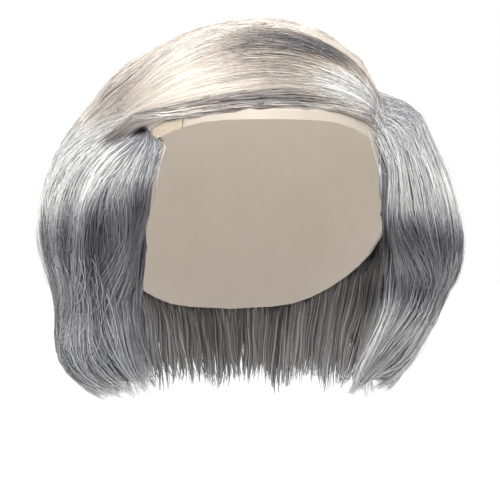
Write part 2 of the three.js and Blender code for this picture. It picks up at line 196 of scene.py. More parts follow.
hair_tree = surface_tree(HAIR_NODES)
raw_hair = level_map(hair_tree)
hair_grid = blurred(filled(raw_hair), HAIR_BLUR, HAIR_BLUR)
inner_grid = blurred(filled(inner_map(hair_tree)), HAIR_BLUR, HAIR_BLUR)
raw_cap = level_map(surface_tree(["cap"]))
cap_grid = blurred(filled(raw_cap), CAP_BLUR, CAP_BLUR)
dome_tree = surface_tree(["cap", "comb_over", *HAIR_NODES])
dome_grid = blurred(filled(dome_map(dome_tree)), DOME_BLUR, DOME_BLUR)
bare_grid = filled(dome_map(surface_tree(CLOTH_NODES)))
combed_grid = filled(dome_map(surface_tree([*CLOTH_NODES, "comb_over"])))
pate_grid = bare_grid + blurred(combed_grid - bare_grid, COMB_BLUR, COMB_BLUR)

has_hair = np.isfinite(raw_hair)
hair_azimuths = AZIMUTHS[has_hair.any(axis=1)]
hair_tops = np.array([LEVELS[row].max() for row in has_hair if row.any()])
hair_feet = np.array([LEVELS[row].min() for row in has_hair if row.any()])
hair_feet = blurred(np.stack([hair_feet, hair_feet], axis=1), *FOOT_BLUR)[:, 0]
cap_rims = np.array([LEVELS[row].min() for row in np.isfinite(raw_cap)])


def hair_radius(azimuth, level):
    return sampled(hair_grid, azimuth, level, LEVELS[0], LEVEL_STEP)


def inner_radius(azimuth, level):
    return sampled(inner_grid, azimuth, level, LEVELS[0], LEVEL_STEP)


def cap_radius(azimuth, level):
    return sampled(cap_grid, azimuth, level, LEVELS[0], LEVEL_STEP)


def hair_top(azimuth):
    return np.interp(azimuth, hair_azimuths, hair_tops, period=360.0)


def hair_foot(azimuth):
    return np.interp(azimuth, hair_azimuths, hair_feet, period=360.0)


EDGE_AZIMUTHS = np.arange(30.0, 75.0, 0.5)
EDGE_EASE = 3
CORNER_FILL = 6.0
CORNER_FILL_LEVELS = (-115.0, -80.0)


def front_edges(hand):
    """Least azimuth that has hair on one side, for each level that has any, eased over its neighbours."""
    rows = []
    for level in LEVELS:
        centre = np.array([0.0, 0.0, level])
        for azimuth in EDGE_AZIMUTHS:
            if np.isfinite(radius_along(hair_tree, centre, polar_point(hand * azimuth, 1.0, 0.0))):
                rows.append((level, azimuth))
                break
    levels, edges = np.array(rows).T
    window = 2 * EDGE_EASE + 1
    padded = np.pad(edges, EDGE_EASE, mode="edge")
    return levels, np.convolve(padded, np.full(window, 1.0 / window), mode="valid")


EDGES = {hand: front_edges(hand) for hand in HAND.values()}


def front_edge(azimuth, level):
    """Azimuth of the hair's front edge on the side that an azimuth is on; wisps fill the right corner."""
    fill = CORNER_FILL * smooth_step(*CORNER_FILL_LEVELS, level)
    right = np.interp(level, *EDGES[HAND["right"]]) - fill
    left = np.interp(level, *EDGES[HAND["left"]])
    return np.where(azimuth < 0, right, left)


def cap_rim(azimuth):
    return np.interp(azimuth, AZIMUTHS, cap_rims, period=360.0)


def polar_angle(radius, level):
    """Angle from the crown, at the wig's centre, of a point at a radius and level."""
    return np.degrees(np.arctan2(radius, level - WIG_CENTRE[2]))


def dome_point(azimuth, polar, lift):
    """Point over the outer form in a direction from the wig's centre."""
    reach = sampled(dome_grid, azimuth, polar, POLARS[0], POLAR_STEP) + lift
    lean = np.radians(polar)
    return polar_point(azimuth, reach * np.sin(lean), WIG_CENTRE[2] + reach * np.cos(lean))


def over_pate(points, lift, onto_hair):
    """Points moved out from the wig's centre to stand on the pate, or by a share on the hair."""
    direction = unit(points - WIG_CENTRE)
    polar = np.degrees(np.arccos(np.clip(direction[..., 2], -1.0, 1.0)))
    azimuth = np.degrees(np.arctan2(direction[..., 0], -direction[..., 1]))
    on_pate = sampled(pate_grid, azimuth, polar, POLARS[0], POLAR_STEP)
    on_hair = sampled(dome_grid, azimuth, polar, POLARS[0], POLAR_STEP)
    reach = on_pate + (on_hair - on_pate) * onto_hair + lift
    return WIG_CENTRE + direction * reach[..., None]


# Meshes of many strands and flat locks, each a closed tapered tube

TONE_WIDTH = 1.0 / 400.0
STRAND_FORM = {
    "section": [(0.0, 1.0), (-0.87, -0.5), (0.87, -0.5)],
    "across": [0.0, 0.33, 0.67, 1.0],
}
LOCK_FORM = {
    "section": [(0.0, 1.0), (-1.0, 0.0), (0.0, -0.6), (1.0, 0.0)],
    "across": [0.5, 0.0, 0.5, 1.0, 0.5],
}
ALONG_SPREAD = 0.05
END_SPREAD = 0.01
STRAND_THINNING = 0.8
LOCK_DEPTH = 0.22
LOCK_PLAY = 0.08
LOCK_ROOT_WIDTH = 0.25
LOCK_ROOT_SHARE = (0.0, 0.15)
LOCK_THINNING = 0.85
LOCK_TIP_SHARE = (0.65, 1.0)


def tube_corners(paths, half_width, half_depth, form, taper):
    """Corners of every ring of every tube."""
    tangent = unit(np.gradient(paths, axis=1))
    side = unit(np.cross(tangent, unit(paths - WIG_CENTRE)))
    lift = np.cross(side, tangent)
    shape = np.array(form["section"])
    wide = (half_width[:, None] * taper[None, :])[:, :, None, None] * shape[None, None, :, 0, None]
    deep = (half_depth[:, None] * taper[None, :])[:, :, None, None] * shape[None, None, :, 1, None]
    ring = wide * side[:, :, None, :] + deep * lift[:, :, None, :]
    return (paths[:, :, None, :] + ring).reshape(-1, 3) * MM


def tube_faces(steps, sides):
    """For one tube, the step and turn of each wall, and the corners of its walls and of its two ends."""
    step, turn = np.meshgrid(np.arange(steps - 1), np.arange(sides), indexing="ij")
    step = step.ravel()
    turn = turn.ravel()
    following = (turn + 1) % sides
    near = step * sides
    far = near + sides
    walls = np.stack([near + turn, near + following, far + following, far + turn], axis=1)[:, ::-1]
    ends = np.array([np.arange(sides), np.arange(sides)[::-1] + (steps - 1) * sides])
    return step, turn, walls, ends


def tube_map(step, turn, form, tones, tone_width, shades):
    """Map of every tube: the tone across and the painted shade and tint upwards, which each ring of a tube
    has.
    """
    steps = shades.shape[1]
    sides = len(form["section"])
    band = np.array(form["across"])
    wall_u = np.stack([band[turn], band[turn + 1], band[turn + 1], band[turn]], axis=1)[:, ::-1]
    wall_ring = np.stack([step, step, step + 1, step + 1], axis=1)[:, ::-1]
    around = np.arange(sides) / sides
    end_u = np.array([around, around[::-1]])
    end_v = END_SPREAD * np.array([np.sin(np.pi * around), -np.sin(np.pi * around[::-1])])
    one_u = np.concatenate([wall_u.ravel(), end_u.ravel()])
    one_v = np.concatenate([np.zeros(wall_ring.size), end_v.ravel()])
    ring_of = np.concatenate([wall_ring.ravel(), np.zeros(sides, dtype=int), np.full(sides, steps - 1)])
    map_u = (tones * (1.0 - tone_width))[:, None] + tone_width * one_u[None, :]
    along = np.linspace(0.0, ALONG_SPREAD, steps)[None, :]
    eased = along + (1.0 - ALONG_SPREAD) * np.clip(shades, 0.0, 1.0)
    map_v = np.clip(eased[:, ring_of] + one_v[None, :], 0.0, 1.0)
    return np.stack([map_u.ravel(), map_v.ravel()], axis=1)


def tube_mesh(name, paths, half_width, half_depth, form, taper, tones, tone_width, shades, material):
    """One piece of closed tapered tubes along paths."""
    count, steps = paths.shape[:2]
    sides = len(form["section"])
    corners = tube_corners(paths, half_width, half_depth, form, taper)
    step, turn, walls, ends = tube_faces(steps, sides)
    one_tube = np.concatenate([walls.ravel(), ends.ravel()])
    loops = (one_tube[None, :] + (np.arange(count) * steps * sides)[:, None]).ravel()
    totals = np.tile(np.concatenate([np.full(len(walls), 4), np.full(2, sides)]), count)
    starts = np.concatenate([[0], np.cumsum(totals)[:-1]])

    mesh = bpy.data.meshes.new(name)
    mesh.vertices.add(len(corners))
    mesh.vertices.foreach_set("co", corners.ravel())
    mesh.loops.add(len(loops))
    mesh.loops.foreach_set("vertex_index", loops.astype(np.int32))
    mesh.polygons.add(len(totals))
    mesh.polygons.foreach_set("loop_start", starts.astype(np.int32))
    mesh.polygons.foreach_set("loop_total", totals.astype(np.int32))
    mesh.polygons.foreach_set("use_smooth", np.ones(len(totals), dtype=bool))
    layer = mesh.uv_layers.new(name="OFBake")
    layer.data.foreach_set("uv", tube_map(step, turn, form, tones, tone_width, shades).ravel())
    mesh.update(calc_edges=True)
    mesh.validate()
    mesh.materials.append(material)
    piece = bpy.data.objects.new(name, mesh)
    bpy.context.scene.collection.objects.link(piece)
    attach(piece, "root")
    return piece


def strand_piece(name, paths, radii, tones, shades, material):
    """Single hairs: thin tubes, each of one tone."""
    taper = 1.0 - STRAND_THINNING * np.linspace(0.0, 1.0, paths.shape[1]) ** 3
    tube_mesh(
        name, paths, radii, radii, STRAND_FORM, taper, tones, TONE_WIDTH, shades, material
    )


def lock_piece(name, paths, half_width, shades, material):
    """Flat locks, each showing several hairs side by side."""
    along = np.linspace(0.0, 1.0, paths.shape[1])
    root = LOCK_ROOT_WIDTH + (1.0 - LOCK_ROOT_WIDTH) * smooth_step(*LOCK_ROOT_SHARE, along)
    taper = root * (1.0 - LOCK_THINNING * smooth_step(*LOCK_TIP_SHARE, along))
    depth = LOCK_DEPTH * half_width
    tones = random.uniform(0.0, 1.0, len(paths))
    own_shades = shades + random.normal(0.0, LOCK_PLAY, len(paths))[:, None]
    return tube_mesh(
        name, paths, half_width, depth, LOCK_FORM, taper, tones, LOCK_WINDOW, own_shades, material
    )


def smoothed_paths(paths, passes):
    """Paths with their kinks eased; the two ends stay."""
    for _ in range(passes):
        paths[:, 1:-1] = 0.25 * paths[:, :-2] + 0.5 * paths[:, 1:-1] + 0.25 * paths[:, 2:]
    return paths


def resampled(paths, lengths_share, steps):
    """Each dense path cut to its share of the length and given a fixed number of even steps."""
    gaps = np.linalg.norm(np.diff(paths, axis=1), axis=2)
    distance = np.concatenate([np.zeros((len(paths), 1)), np.cumsum(gaps, axis=1)], axis=1)
    result = np.zeros((len(paths), steps, 3))
    for row in range(len(paths)):
        wanted = np.linspace(0.0, distance[row, -1] * lengths_share[row], steps)
        for axis in range(3):
            result[row, :, axis] = np.interp(wanted, distance[row], paths[row, :, axis])
    return result


# Materials


def new_material(name):
    material = bpy.data.materials.new(name)
    material.use_nodes = True
    tree = material.node_tree
    tree.nodes.clear()
    output = tree.nodes.new("ShaderNodeOutputMaterial")
    shader = tree.nodes.new("ShaderNodeBsdfPrincipled")
    tree.links.new(shader.outputs["BSDF"], output.inputs["Surface"])
    return material, tree, shader


def new_node(tree, kind, settings=None, values=None):
    node = tree.nodes.new(kind)
    for key, value in (settings or {}).items():
        setattr(node, key, value)
    for key, value in (values or {}).items():
        node.inputs[key].default_value = value
    return node


def set_ramp(node, stops):
    ramp = node.color_ramp
    while len(ramp.elements) < len(stops):
        ramp.elements.new(0.5)
    for element, (place, colour) in zip(ramp.elements, stops):
        element.position = place
        element.color = (*colour, 1.0)


def times(tree, first, second):
    """Output of the product of two colours or values."""
    settings = {"data_type": "RGBA", "blend_type": "MULTIPLY", "clamp_result": True}
    node = new_node(tree, "ShaderNodeMix", settings, {0: 1.0})
    tree.links.new(first, node.inputs[6])
    tree.links.new(second, node.inputs[7])
    return node.outputs[2]


HAIRS_IN_MAP = 160.0
HAIRS_IN_LOCK = 5.0
LOCK_WINDOW = HAIRS_IN_LOCK / HAIRS_IN_MAP
MOTTLE_ACROSS = 3.7
MOTTLE_ALONG = 5.0
MOTTLE_LEAST = 0.6
MOTTLE_RISE = 0.8
# Painted shade between hairs: the share left at a hair's sides, and what its round middle adds
HAIR_GAP_SHADE = 0.6
HAIR_ROUND = 0.5


def hair_columns_group():
    """Hairs side by side: a tone for each, an uneven shade along it, painted darker at its sides, and its
    round height.
    """
    group = bpy.data.node_groups.new("hair_columns", "ShaderNodeTree")
    socket = group.interface.new_socket
    socket("Across", in_out="INPUT", socket_type="NodeSocketFloat")
    socket("Along", in_out="INPUT", socket_type="NodeSocketFloat")
    socket("Tone", in_out="OUTPUT", socket_type="NodeSocketFloat")
    socket("Shade", in_out="OUTPUT", socket_type="NodeSocketFloat")
    socket("Height", in_out="OUTPUT", socket_type="NodeSocketFloat")
    link = group.links.new
    inside = group.nodes.new("NodeGroupInput")
    outside = group.nodes.new("NodeGroupOutput")

    def sum_of(operation, first, second=0.0):
        node = new_node(group, "ShaderNodeMath", {"operation": operation})
        for slot_number, value in enumerate((first, second)):
            if isinstance(value, float):
                node.inputs[slot_number].default_value = value
            else:
                link(value, node.inputs[slot_number])
        return node.outputs["Value"]

    hair = sum_of("FLOOR", inside.outputs["Across"])
    across = sum_of("FRACT", inside.outputs["Across"])
    tone = new_node(group, "ShaderNodeTexWhiteNoise", {"noise_dimensions": "1D"})
    link(hair, tone.inputs["W"])
    place = new_node(group, "ShaderNodeCombineXYZ")
    link(sum_of("MULTIPLY", hair, MOTTLE_ACROSS), place.inputs["X"])
    link(sum_of("MULTIPLY", inside.outputs["Along"], MOTTLE_ALONG), place.inputs["Y"])
    mottle = new_node(group, "ShaderNodeTexNoise", None, {"Scale": 1.0, "Detail": 2.0})
    link(place.outputs["Vector"], mottle.inputs["Vector"])
    middle = sum_of("SUBTRACT", sum_of("MULTIPLY", across, 2.0), 1.0)
    height = sum_of("SUBTRACT", 1.0, sum_of("MULTIPLY", middle, middle))
    # Painted shade, darkest at the sides of each hair
    edge = sum_of("ADD", HAIR_GAP_SHADE, sum_of("MULTIPLY", height, HAIR_ROUND))
    mottled = sum_of("MULTIPLY", mottle.outputs["Fac"], MOTTLE_RISE)
    uneven = sum_of("ADD", MOTTLE_LEAST, mottled)
    link(tone.outputs["Value"], outside.inputs["Tone"])
    link(sum_of("MULTIPLY", edge, uneven), outside.inputs["Shade"])
    link(height, outside.inputs["Height"])
    return group


hair_columns = hair_columns_group()


def mapped_hair_material(name, map_name, hairs_across, tones, painted_shade_and_tint, relief_depth, finish):
    """Many hairs side by side, from a map with the hair across and its painted shade and tint upwards."""
    material, tree, shader = new_material(name)
    link = tree.links.new
    place = new_node(tree, "ShaderNodeUVMap", {"uv_map": map_name})
    parts = new_node(tree, "ShaderNodeSeparateXYZ")
    link(place.outputs["UV"], parts.inputs["Vector"])
    wide = new_node(tree, "ShaderNodeMath", {"operation": "MULTIPLY"}, {1: hairs_across})
    link(parts.outputs["X"], wide.inputs[0])
    hairs = new_node(tree, "ShaderNodeGroup", {"node_tree": hair_columns})
    link(wide.outputs["Value"], hairs.inputs["Across"])
    link(parts.outputs["Y"], hairs.inputs["Along"])
    tone = new_node(tree, "ShaderNodeValToRGB")
    set_ramp(tone, tones)
    link(hairs.outputs["Tone"], tone.inputs["Fac"])
    # Painted shade, and tint on combed hair, from the map's shade upwards
    depth = new_node(tree, "ShaderNodeValToRGB")
    set_ramp(depth, painted_shade_and_tint)
    link(parts.outputs["Y"], depth.inputs["Fac"])
    colour = times(tree, tone.outputs["Color"], depth.outputs["Color"])
    link(times(tree, colour, hairs.outputs["Shade"]), shader.inputs["Base Color"])
    relief = new_node(tree, "ShaderNodeBump", None, {"Strength": 0.6, "Distance": relief_depth})
    link(hairs.outputs["Height"], relief.inputs["Height"])
    link(relief.outputs["Normal"], shader.inputs["Normal"])
    set_finish(shader, finish)
    return material


def set_finish(shader, finish):
    for key, value in finish.items():
        shader.inputs[key].default_value = value


def strand_material(name, tones, painted_shade_and_tint, finish):
    """Single hairs whose colour runs over the strand map: tone across, painted shade and tint upwards."""
    material, tree, shader = new_material(name)
    link = tree.links.new
    place = new_node(tree, "ShaderNodeUVMap", {"uv_map": "OFBake"})
    parts = new_node(tree, "ShaderNodeSeparateXYZ")
    link(place.outputs["UV"], parts.inputs["Vector"])
    tone = new_node(tree, "ShaderNodeValToRGB")
    set_ramp(tone, tones)
    link(parts.outputs["X"], tone.inputs["Fac"])
    stretched = (HAIRS_IN_MAP, MOTTLE_ALONG, 1.0)
    stretch = new_node(tree, "ShaderNodeMapping", None, {"Scale": stretched})
    link(place.outputs["UV"], stretch.inputs["Vector"])
    mottle = new_node(tree, "ShaderNodeTexNoise", None, {"Scale": 1.0, "Detail": 2.0})
    link(stretch.outputs["Vector"], mottle.inputs["Vector"])
    uneven = new_node(
        tree, "ShaderNodeMapRange", None, {"From Min": 0.3, "From Max": 0.7, "To Min": 0.8, "To Max": 1.2}
    )
    link(mottle.outputs["Fac"], uneven.inputs["Value"])
    # Painted shade, and tint on combed hair, from the map's shade upwards
    depth = new_node(tree, "ShaderNodeValToRGB")
    set_ramp(depth, painted_shade_and_tint)
    link(parts.outputs["Y"], depth.inputs["Fac"])
    colour = times(tree, tone.outputs["Color"], depth.outputs["Color"])
    link(times(tree, colour, uneven.outputs["Result"]), shader.inputs["Base Color"])
    set_finish(shader, finish)
    return material


HAIR_FINISH = {"Roughness": 0.45, "Metallic": 0.1, "IOR": 1.55, "Specular IOR Level": 0.5}
COMB_FINISH = {"Roughness": 0.55, "Specular IOR Level": 0.35}
BED_FINISH = {"Roughness": 0.6, "Specular IOR Level": 0.3}
GREY_TONES = [
    (0.0, (0.2, 0.2, 0.212)),
    (0.3, (0.37, 0.37, 0.38)),
    (0.55, (0.54, 0.54, 0.55)),
    (0.8, (0.73, 0.73, 0.73)),
    (1.0, (0.9, 0.89, 0.87)),
]
# Darker tones of the hair bed: painted shade of hair deep under the locks, seen through their gaps
BED_PAINTED_SHADE_TONES = [
    (0.0, (0.05, 0.05, 0.055)),
    (0.5, (0.17, 0.17, 0.18)),
    (1.0, (0.42, 0.42, 0.42)),
]
# Painted shade of grey hair, from dark to bright as the map's shade rises
GREY_PAINTED_SHADES = [
    (0.0, (0.064, 0.06, 0.077)),
    (0.5, (0.6, 0.6, 0.61)),
    (1.0, (1.2, 1.2, 1.18)),
]
# Tints and painted shade of combed hair: cool dark, brown, tan and bright cool grey as the map's shade
# rises
THIN_TINTS_AND_PAINTED_SHADES = [
    (0.0, (0.16, 0.155, 0.168)),
    (0.12, (0.25, 0.235, 0.235)),
    (0.3, (0.47, 0.405, 0.355)),
    (0.55, (0.82, 0.72, 0.63)),
    (0.75, (1.12, 1.03, 0.93)),
    (1.0, (1.4, 1.4, 1.39)),
]
BED_HAIRS = 1800.0
HAIR_RELIEF = 0.00012
BED_RELIEF = 0.0004
grey_strands = strand_material("grey_strands", GREY_TONES, GREY_PAINTED_SHADES, HAIR_FINISH)
thin_strands = strand_material("combed_strands", GREY_TONES, THIN_TINTS_AND_PAINTED_SHADES, COMB_FINISH)
grey_locks = mapped_hair_material(
    "grey_locks", "OFBake", HAIRS_IN_MAP, GREY_TONES, GREY_PAINTED_SHADES, HAIR_RELIEF, HAIR_FINISH
)
thin_locks = mapped_hair_material(
    "combed_locks", "OFBake", HAIRS_IN_MAP, GREY_TONES, THIN_TINTS_AND_PAINTED_SHADES, HAIR_RELIEF, COMB_FINISH
)
hair_bed = mapped_hair_material(
    "hair_bed", "hair_flow", BED_HAIRS, BED_PAINTED_SHADE_TONES, GREY_PAINTED_SHADES, BED_RELIEF, BED_FINISH
)


def cloth_material(name, light, dark, threads_per_metre, relief_depth, roughness):
    """Fine plain cloth: crossed threads, a soft mottle and a matte finish."""
    material, tree, shader = new_material(name)
    link = tree.links.new
    place = new_node(tree, "ShaderNodeTexCoord")
    weave = new_node(
        tree,
        "ShaderNodeTexVoronoi",
        {"distance": "CHEBYCHEV"},
        {"Scale": threads_per_metre, "Randomness": 0.25},
    )
    link(place.outputs["Object"], weave.inputs["Vector"])
    mottle = new_node(tree, "ShaderNodeTexNoise", None, {"Scale": 38.0, "Detail": 4.0, "Roughness": 0.6})
    link(place.outputs["Object"], mottle.inputs["Vector"])
    tone = new_node(tree, "ShaderNodeValToRGB")
    set_ramp(tone, [(0.3, dark), (0.7, light)])
    link(mottle.outputs["Fac"], tone.inputs["Fac"])
    link(tone.outputs["Color"], shader.inputs["Base Color"])
    relief = new_node(tree, "ShaderNodeBump", None, {"Strength": 0.35, "Distance": relief_depth})
    link(weave.outputs["Distance"], relief.inputs["Height"])
    link(relief.outputs["Normal"], shader.inputs["Normal"])
    shader.inputs["Roughness"].default_value = roughness
    shader.inputs["Sheen Weight"].default_value = 0.15
    return material


def net_material(name, thread, gap, cells_per_metre, relief_depth):
    """Fine net: pale threads round small darker cells."""
    material, tree, shader = new_material(name)
    link = tree.links.new
    place = new_node(tree, "ShaderNodeTexCoord")
    cells = new_node(
        tree,
        "ShaderNodeTexVoronoi",
        {"feature": "DISTANCE_TO_EDGE"},
        {"Scale": cells_per_metre, "Randomness": 0.6},
    )
    link(place.outputs["Object"], cells.inputs["Vector"])
    tone = new_node(tree, "ShaderNodeValToRGB")
    set_ramp(tone, [(0.1, thread), (0.3, gap)])
    link(cells.outputs["Distance"], tone.inputs["Fac"])
    link(tone.outputs["Color"], shader.inputs["Base Color"])
    relief = new_node(tree, "ShaderNodeBump", {"invert": True}, {"Strength": 0.6, "Distance": relief_depth})
    link(cells.outputs["Distance"], relief.inputs["Height"])
    link(relief.outputs["Normal"], shader.inputs["Normal"])
    shader.inputs["Roughness"].default_value = 0.8
    return material


pate_cloth = cloth_material(
    "pate_cloth",
    light=(0.665, 0.605, 0.53),
    dark=(0.64, 0.575, 0.5),
    threads_per_metre=1500.0,
    relief_depth=0.0003,
    roughness=0.75,
)
band_cloth = cloth_material(
    "band_cloth",
    light=(0.39, 0.345, 0.29),
    dark=(0.37, 0.32, 0.265),
    threads_per_metre=2100.0,
    relief_depth=0.0001,
    roughness=0.62,
)
net_cloth = net_material(
    "tan_net",
    thread=(0.44, 0.375, 0.285),
    gap=(0.18, 0.145, 0.1),
    cells_per_metre=1000.0,
    relief_depth=0.0006,
)


# Cloth and hair bed pieces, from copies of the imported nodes

MERGED = 0.02
CREASE_ANGLE = 50.0
SMOOTH_ANGLE = 45.0


def copy_of_node(node, name):
    """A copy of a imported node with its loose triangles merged, selected and active."""
    bpy.ops.object.select_all(action="DESELECT")
    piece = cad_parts[node].copy()
    piece.data = piece.data.copy()
    piece.name = name
    piece.parent = None
    for key in list(piece.keys()):
        del piece[key]
    bpy.context.scene.collection.objects.link(piece)
    piece.data.materials.clear()
    piece.select_set(True)
    bpy.context.view_layer.objects.active = piece
    bpy.ops.object.mode_set(mode="EDIT")
    bpy.ops.mesh.select_all(action="SELECT")
    bpy.ops.mesh.remove_doubles(threshold=MERGED * MM)
    bpy.ops.object.mode_set(mode="OBJECT")
    return piece


def apply_modifier(piece, kind, settings):
    modifier = piece.modifiers.new(kind.lower(), kind)
    for key, value in settings.items():
        setattr(modifier, key, value)
    bpy.context.view_layer.objects.active = piece
    bpy.ops.object.modifier_apply(modifier=modifier.name)


def finish_piece(piece, material, node):
    piece.data.materials.append(material)
    bpy.ops.object.select_all(action="DESELECT")
    piece.select_set(True)
    bpy.context.view_layer.objects.active = piece
    bpy.ops.object.shade_smooth()
    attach(piece, "root")
    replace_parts(piece, node)


def cloth_piece(node, name, material):
    piece = copy_of_node(node, name)
    bpy.ops.object.mode_set(mode="EDIT")
    bpy.ops.mesh.select_all(action="SELECT")
    bpy.ops.mesh.tris_convert_to_quads()
    bpy.ops.mesh.select_all(action="DESELECT")
    bpy.ops.mesh.edges_select_sharp(sharpness=math.radians(CREASE_ANGLE))
    bpy.ops.transform.edge_crease(value=1.0)
    bpy.ops.object.mode_set(mode="OBJECT")
    apply_modifier(piece, "SUBSURF", {"levels": 2, "render_levels": 2})
    finish_piece(piece, material, node)
    bpy.ops.object.shade_smooth_by_angle(angle=math.radians(SMOOTH_ANGLE))


cloth_piece("cap", "cap_cloth", pate_cloth)
cloth_piece("forehead_band", "forehead_hem", band_cloth)
cloth_piece("net_corner", "net_patch", net_cloth)


# Side and back hair. Roots run along the edge of the pate. By the azimuth of the root, a lock is carried
# back while it falls, and its tip turns back or, where negative, forwards. The upper tier ends at a level
# of its own.

FLOW = table(
    ("azimuth", "right", "left", "tip_right", "tip_left", "end_right", "end_left"),
    (38, 6, 0, 10, 6, -150, -130),
    (48, 21, 5, 15, 10, -153, -136),
    (58, 27, 9, 8, 2, -155, -144),
    (70, 26, 10, -4, -9, -157, -149),
    (85, 20, 10, -14, -15, -159, -154),
    (100, 14, 9, -16, -15, -160, -158),
    (118, 8, 7, -6, -9, -160, -160),
    (150, 3, 3, -2, -2, -162, -162),
    (180, 0, 0, 0, 0, -162, -162),
)
# Painted light and shade of the hair by level: bright high up where the key light falls on the waves, dark
# lower down where they turn from it, lighter again at the foot
PAINTED_SHADES = table(
    ("level", "right", "left", "back"),
    (-200, 0.85, 0.85, 0.6),
    (-184, 0.66, 0.72, 0.58),
    (-172, 0.46, 0.65, 0.55),
    (-156, 0.38, 0.76, 0.5),
    (-148, 0.26, 0.52, 0.42),
    (-139, 0.11, 0.1, 0.35),
    (-126, 0.05, 0.26, 0.3),
    (-114, 0.02, 0.0, 0.32),
    (-105, 0.1, 0.14, 0.5),
    (-97, 0.27, 0.72, 0.75),
    (-84, 0.98, 0.87, 0.9),
    (-62, 1.0, 0.72, 0.9),
    (-50, 1.0, 0.58, 0.85),
    (-38, 0.85, 0.46, 0.8),
    (-20, 0.8, 0.55, 0.75),
)

# Waves over the hair, and the slant and play of its painted shade
WAVES = 5
WAVE_TURNS = (8, 40)
WAVE_ALONG = (0.6, 2.2)
WAVE_SPREAD = 2.2
BAND_SLANT = {"right": 0.35, "left": 0.1}
SLANT_FROM = 53.0
SLANT_TO = 110.0
SHADE_PLAY = 0.06
SHADE_WAVE = 90.0
SHADE_SEED = 23
BACK_FADE = (100.0, 140.0)
FRONT_SHADE = 0.3
FRONT_SHADE_AZIMUTHS = (55.0, 45.0)
LEAST_FRONT_SHADE = 0.12
CORNER_SHADE = 0.6
CORNER_FRONT = (37.0, 43.0)
CORNER_BACK = (57.0, 48.0)
CORNER_LEVELS = (-74.0, -61.0)
SWEEP_DROP = 55.0
SWEEP_RATE = 2.2


def signed(azimuth):
    return np.mod(azimuth + 180.0, 360.0) - 180.0


def flow_of(azimuth, key):
    """Column of the flow table at a signed azimuth, from the side that it is on."""
    turn = signed(azimuth)
    prefix = key + "_" if key else ""
    right = column(FLOW, "azimuth", prefix + "right", np.abs(turn))
    left = column(FLOW, "azimuth", prefix + "left", np.abs(turn))
    return np.where(turn < 0, right, left)


def field(azimuth, t, size, seed):
    """A smooth wave over the hair, the same for neighbours."""
    source = np.random.default_rng(seed)
    total = 0.0
    for _ in range(WAVES):
        turns = source.integers(*WAVE_TURNS)
        along = source.uniform(*WAVE_ALONG)
        phase = source.uniform(0.0, 2 * np.pi)
        total = total + np.sin(np.radians(azimuth) * turns + 2 * np.pi * along * t + phase)
    return size * total / WAVE_SPREAD


def painted_shade_of(azimuth, level):
    """Painted light and shade: bands of the hair, lower towards the back on each side and even round the
    back.
    """
    turn = signed(azimuth)
    off_face = np.abs(turn)
    slanted = np.minimum(off_face, SLANT_TO) - SLANT_FROM
    right = column(PAINTED_SHADES, "level", "right", level + BAND_SLANT["right"] * slanted)
    left = column(PAINTED_SHADES, "level", "left", level + BAND_SLANT["left"] * slanted)
    back = column(PAINTED_SHADES, "level", "back", level)
    # Painted shade at the right front edge, deeper at its corner by the net
    right = right - FRONT_SHADE * smooth_step(*FRONT_SHADE_AZIMUTHS, off_face)
    right = np.maximum(right, LEAST_FRONT_SHADE)
    corner = smooth_step(*CORNER_BACK, off_face) * smooth_step(*CORNER_FRONT, off_face)
    right = right - CORNER_SHADE * corner * smooth_step(*CORNER_LEVELS, level)
    side = np.where(turn < 0, right, left)
    shade = side + (back - side) * smooth_step(*BACK_FADE, off_face)
    return shade + field(azimuth, -level / SHADE_WAVE, SHADE_PLAY, SHADE_SEED)


# Painted shade at every point of paths
def painted_path_shades(paths):
    azimuth = np.degrees(np.arctan2(paths[..., 0], -paths[..., 1]))
    return painted_shade_of(azimuth, paths[..., 2])


def carried(drop):
    """Share of the backward sweep that a lock has made after a drop."""
    return 1.0 - np.exp(-SWEEP_RATE * np.maximum(drop, 0.0) / SWEEP_DROP)


# Beds: the mass of each hair piece, under its locks and strands

BED_VOXEL = 3.2
BED_SINK = 2.8
BED_FACING = (-0.2, 0.4)
BED_CREST_SINK = 3.0
BED_CREST_LEVELS = (-72.0, -52.0)
SIDE_FOOT = -185.0
BACK_FOOT = -168.0


def draw_in(mesh):
    """Sink a bed's outer side, most at its crest, so that locks and strands stand proud of it."""
    corners = np.zeros(len(mesh.vertices) * 3)
    normals = np.zeros(len(mesh.vertices) * 3)
    mesh.vertices.foreach_get("co", corners)
    mesh.vertices.foreach_get("normal", normals)
    corners = corners.reshape(-1, 3) / MM
    normals = normals.reshape(-1, 3)
    facing = np.sum(normals * unit(corners - WIG_CENTRE), axis=1)
    crest_sink = BED_CREST_SINK * smooth_step(*BED_CREST_LEVELS, corners[:, 2])
    sink = (BED_SINK + crest_sink) * smooth_step(*BED_FACING, facing)
    corners = corners - normals * sink[:, None]
    mesh.vertices.foreach_set("co", (corners * MM).ravel())
    mesh.update()


def map_flow(mesh, middle):
    """Map of a bed: the hair across, along its sweep, and the painted shade upwards."""
    corners = np.array([vertex.co for vertex in mesh.vertices]) / MM
    azimuth = np.degrees(np.arctan2(corners[:, 0], -corners[:, 1]))
    turn = middle + signed(azimuth - middle)
    hand = np.where(signed(turn) < 0, -1.0, 1.0)
    drop = hair_top(signed(turn)) - corners[:, 2]
    across = (turn - hand * flow_of(turn, "") * carried(drop)) / 360.0
    flow_map = np.stack([across, painted_shade_of(azimuth, corners[:, 2])], axis=1)
    spots = np.zeros(len(mesh.loops), dtype=np.int32)
    mesh.loops.foreach_get("vertex_index", spots)
    layer = mesh.uv_layers.new(name="hair_flow")
    layer.data.foreach_set("uv", flow_map[spots].ravel())


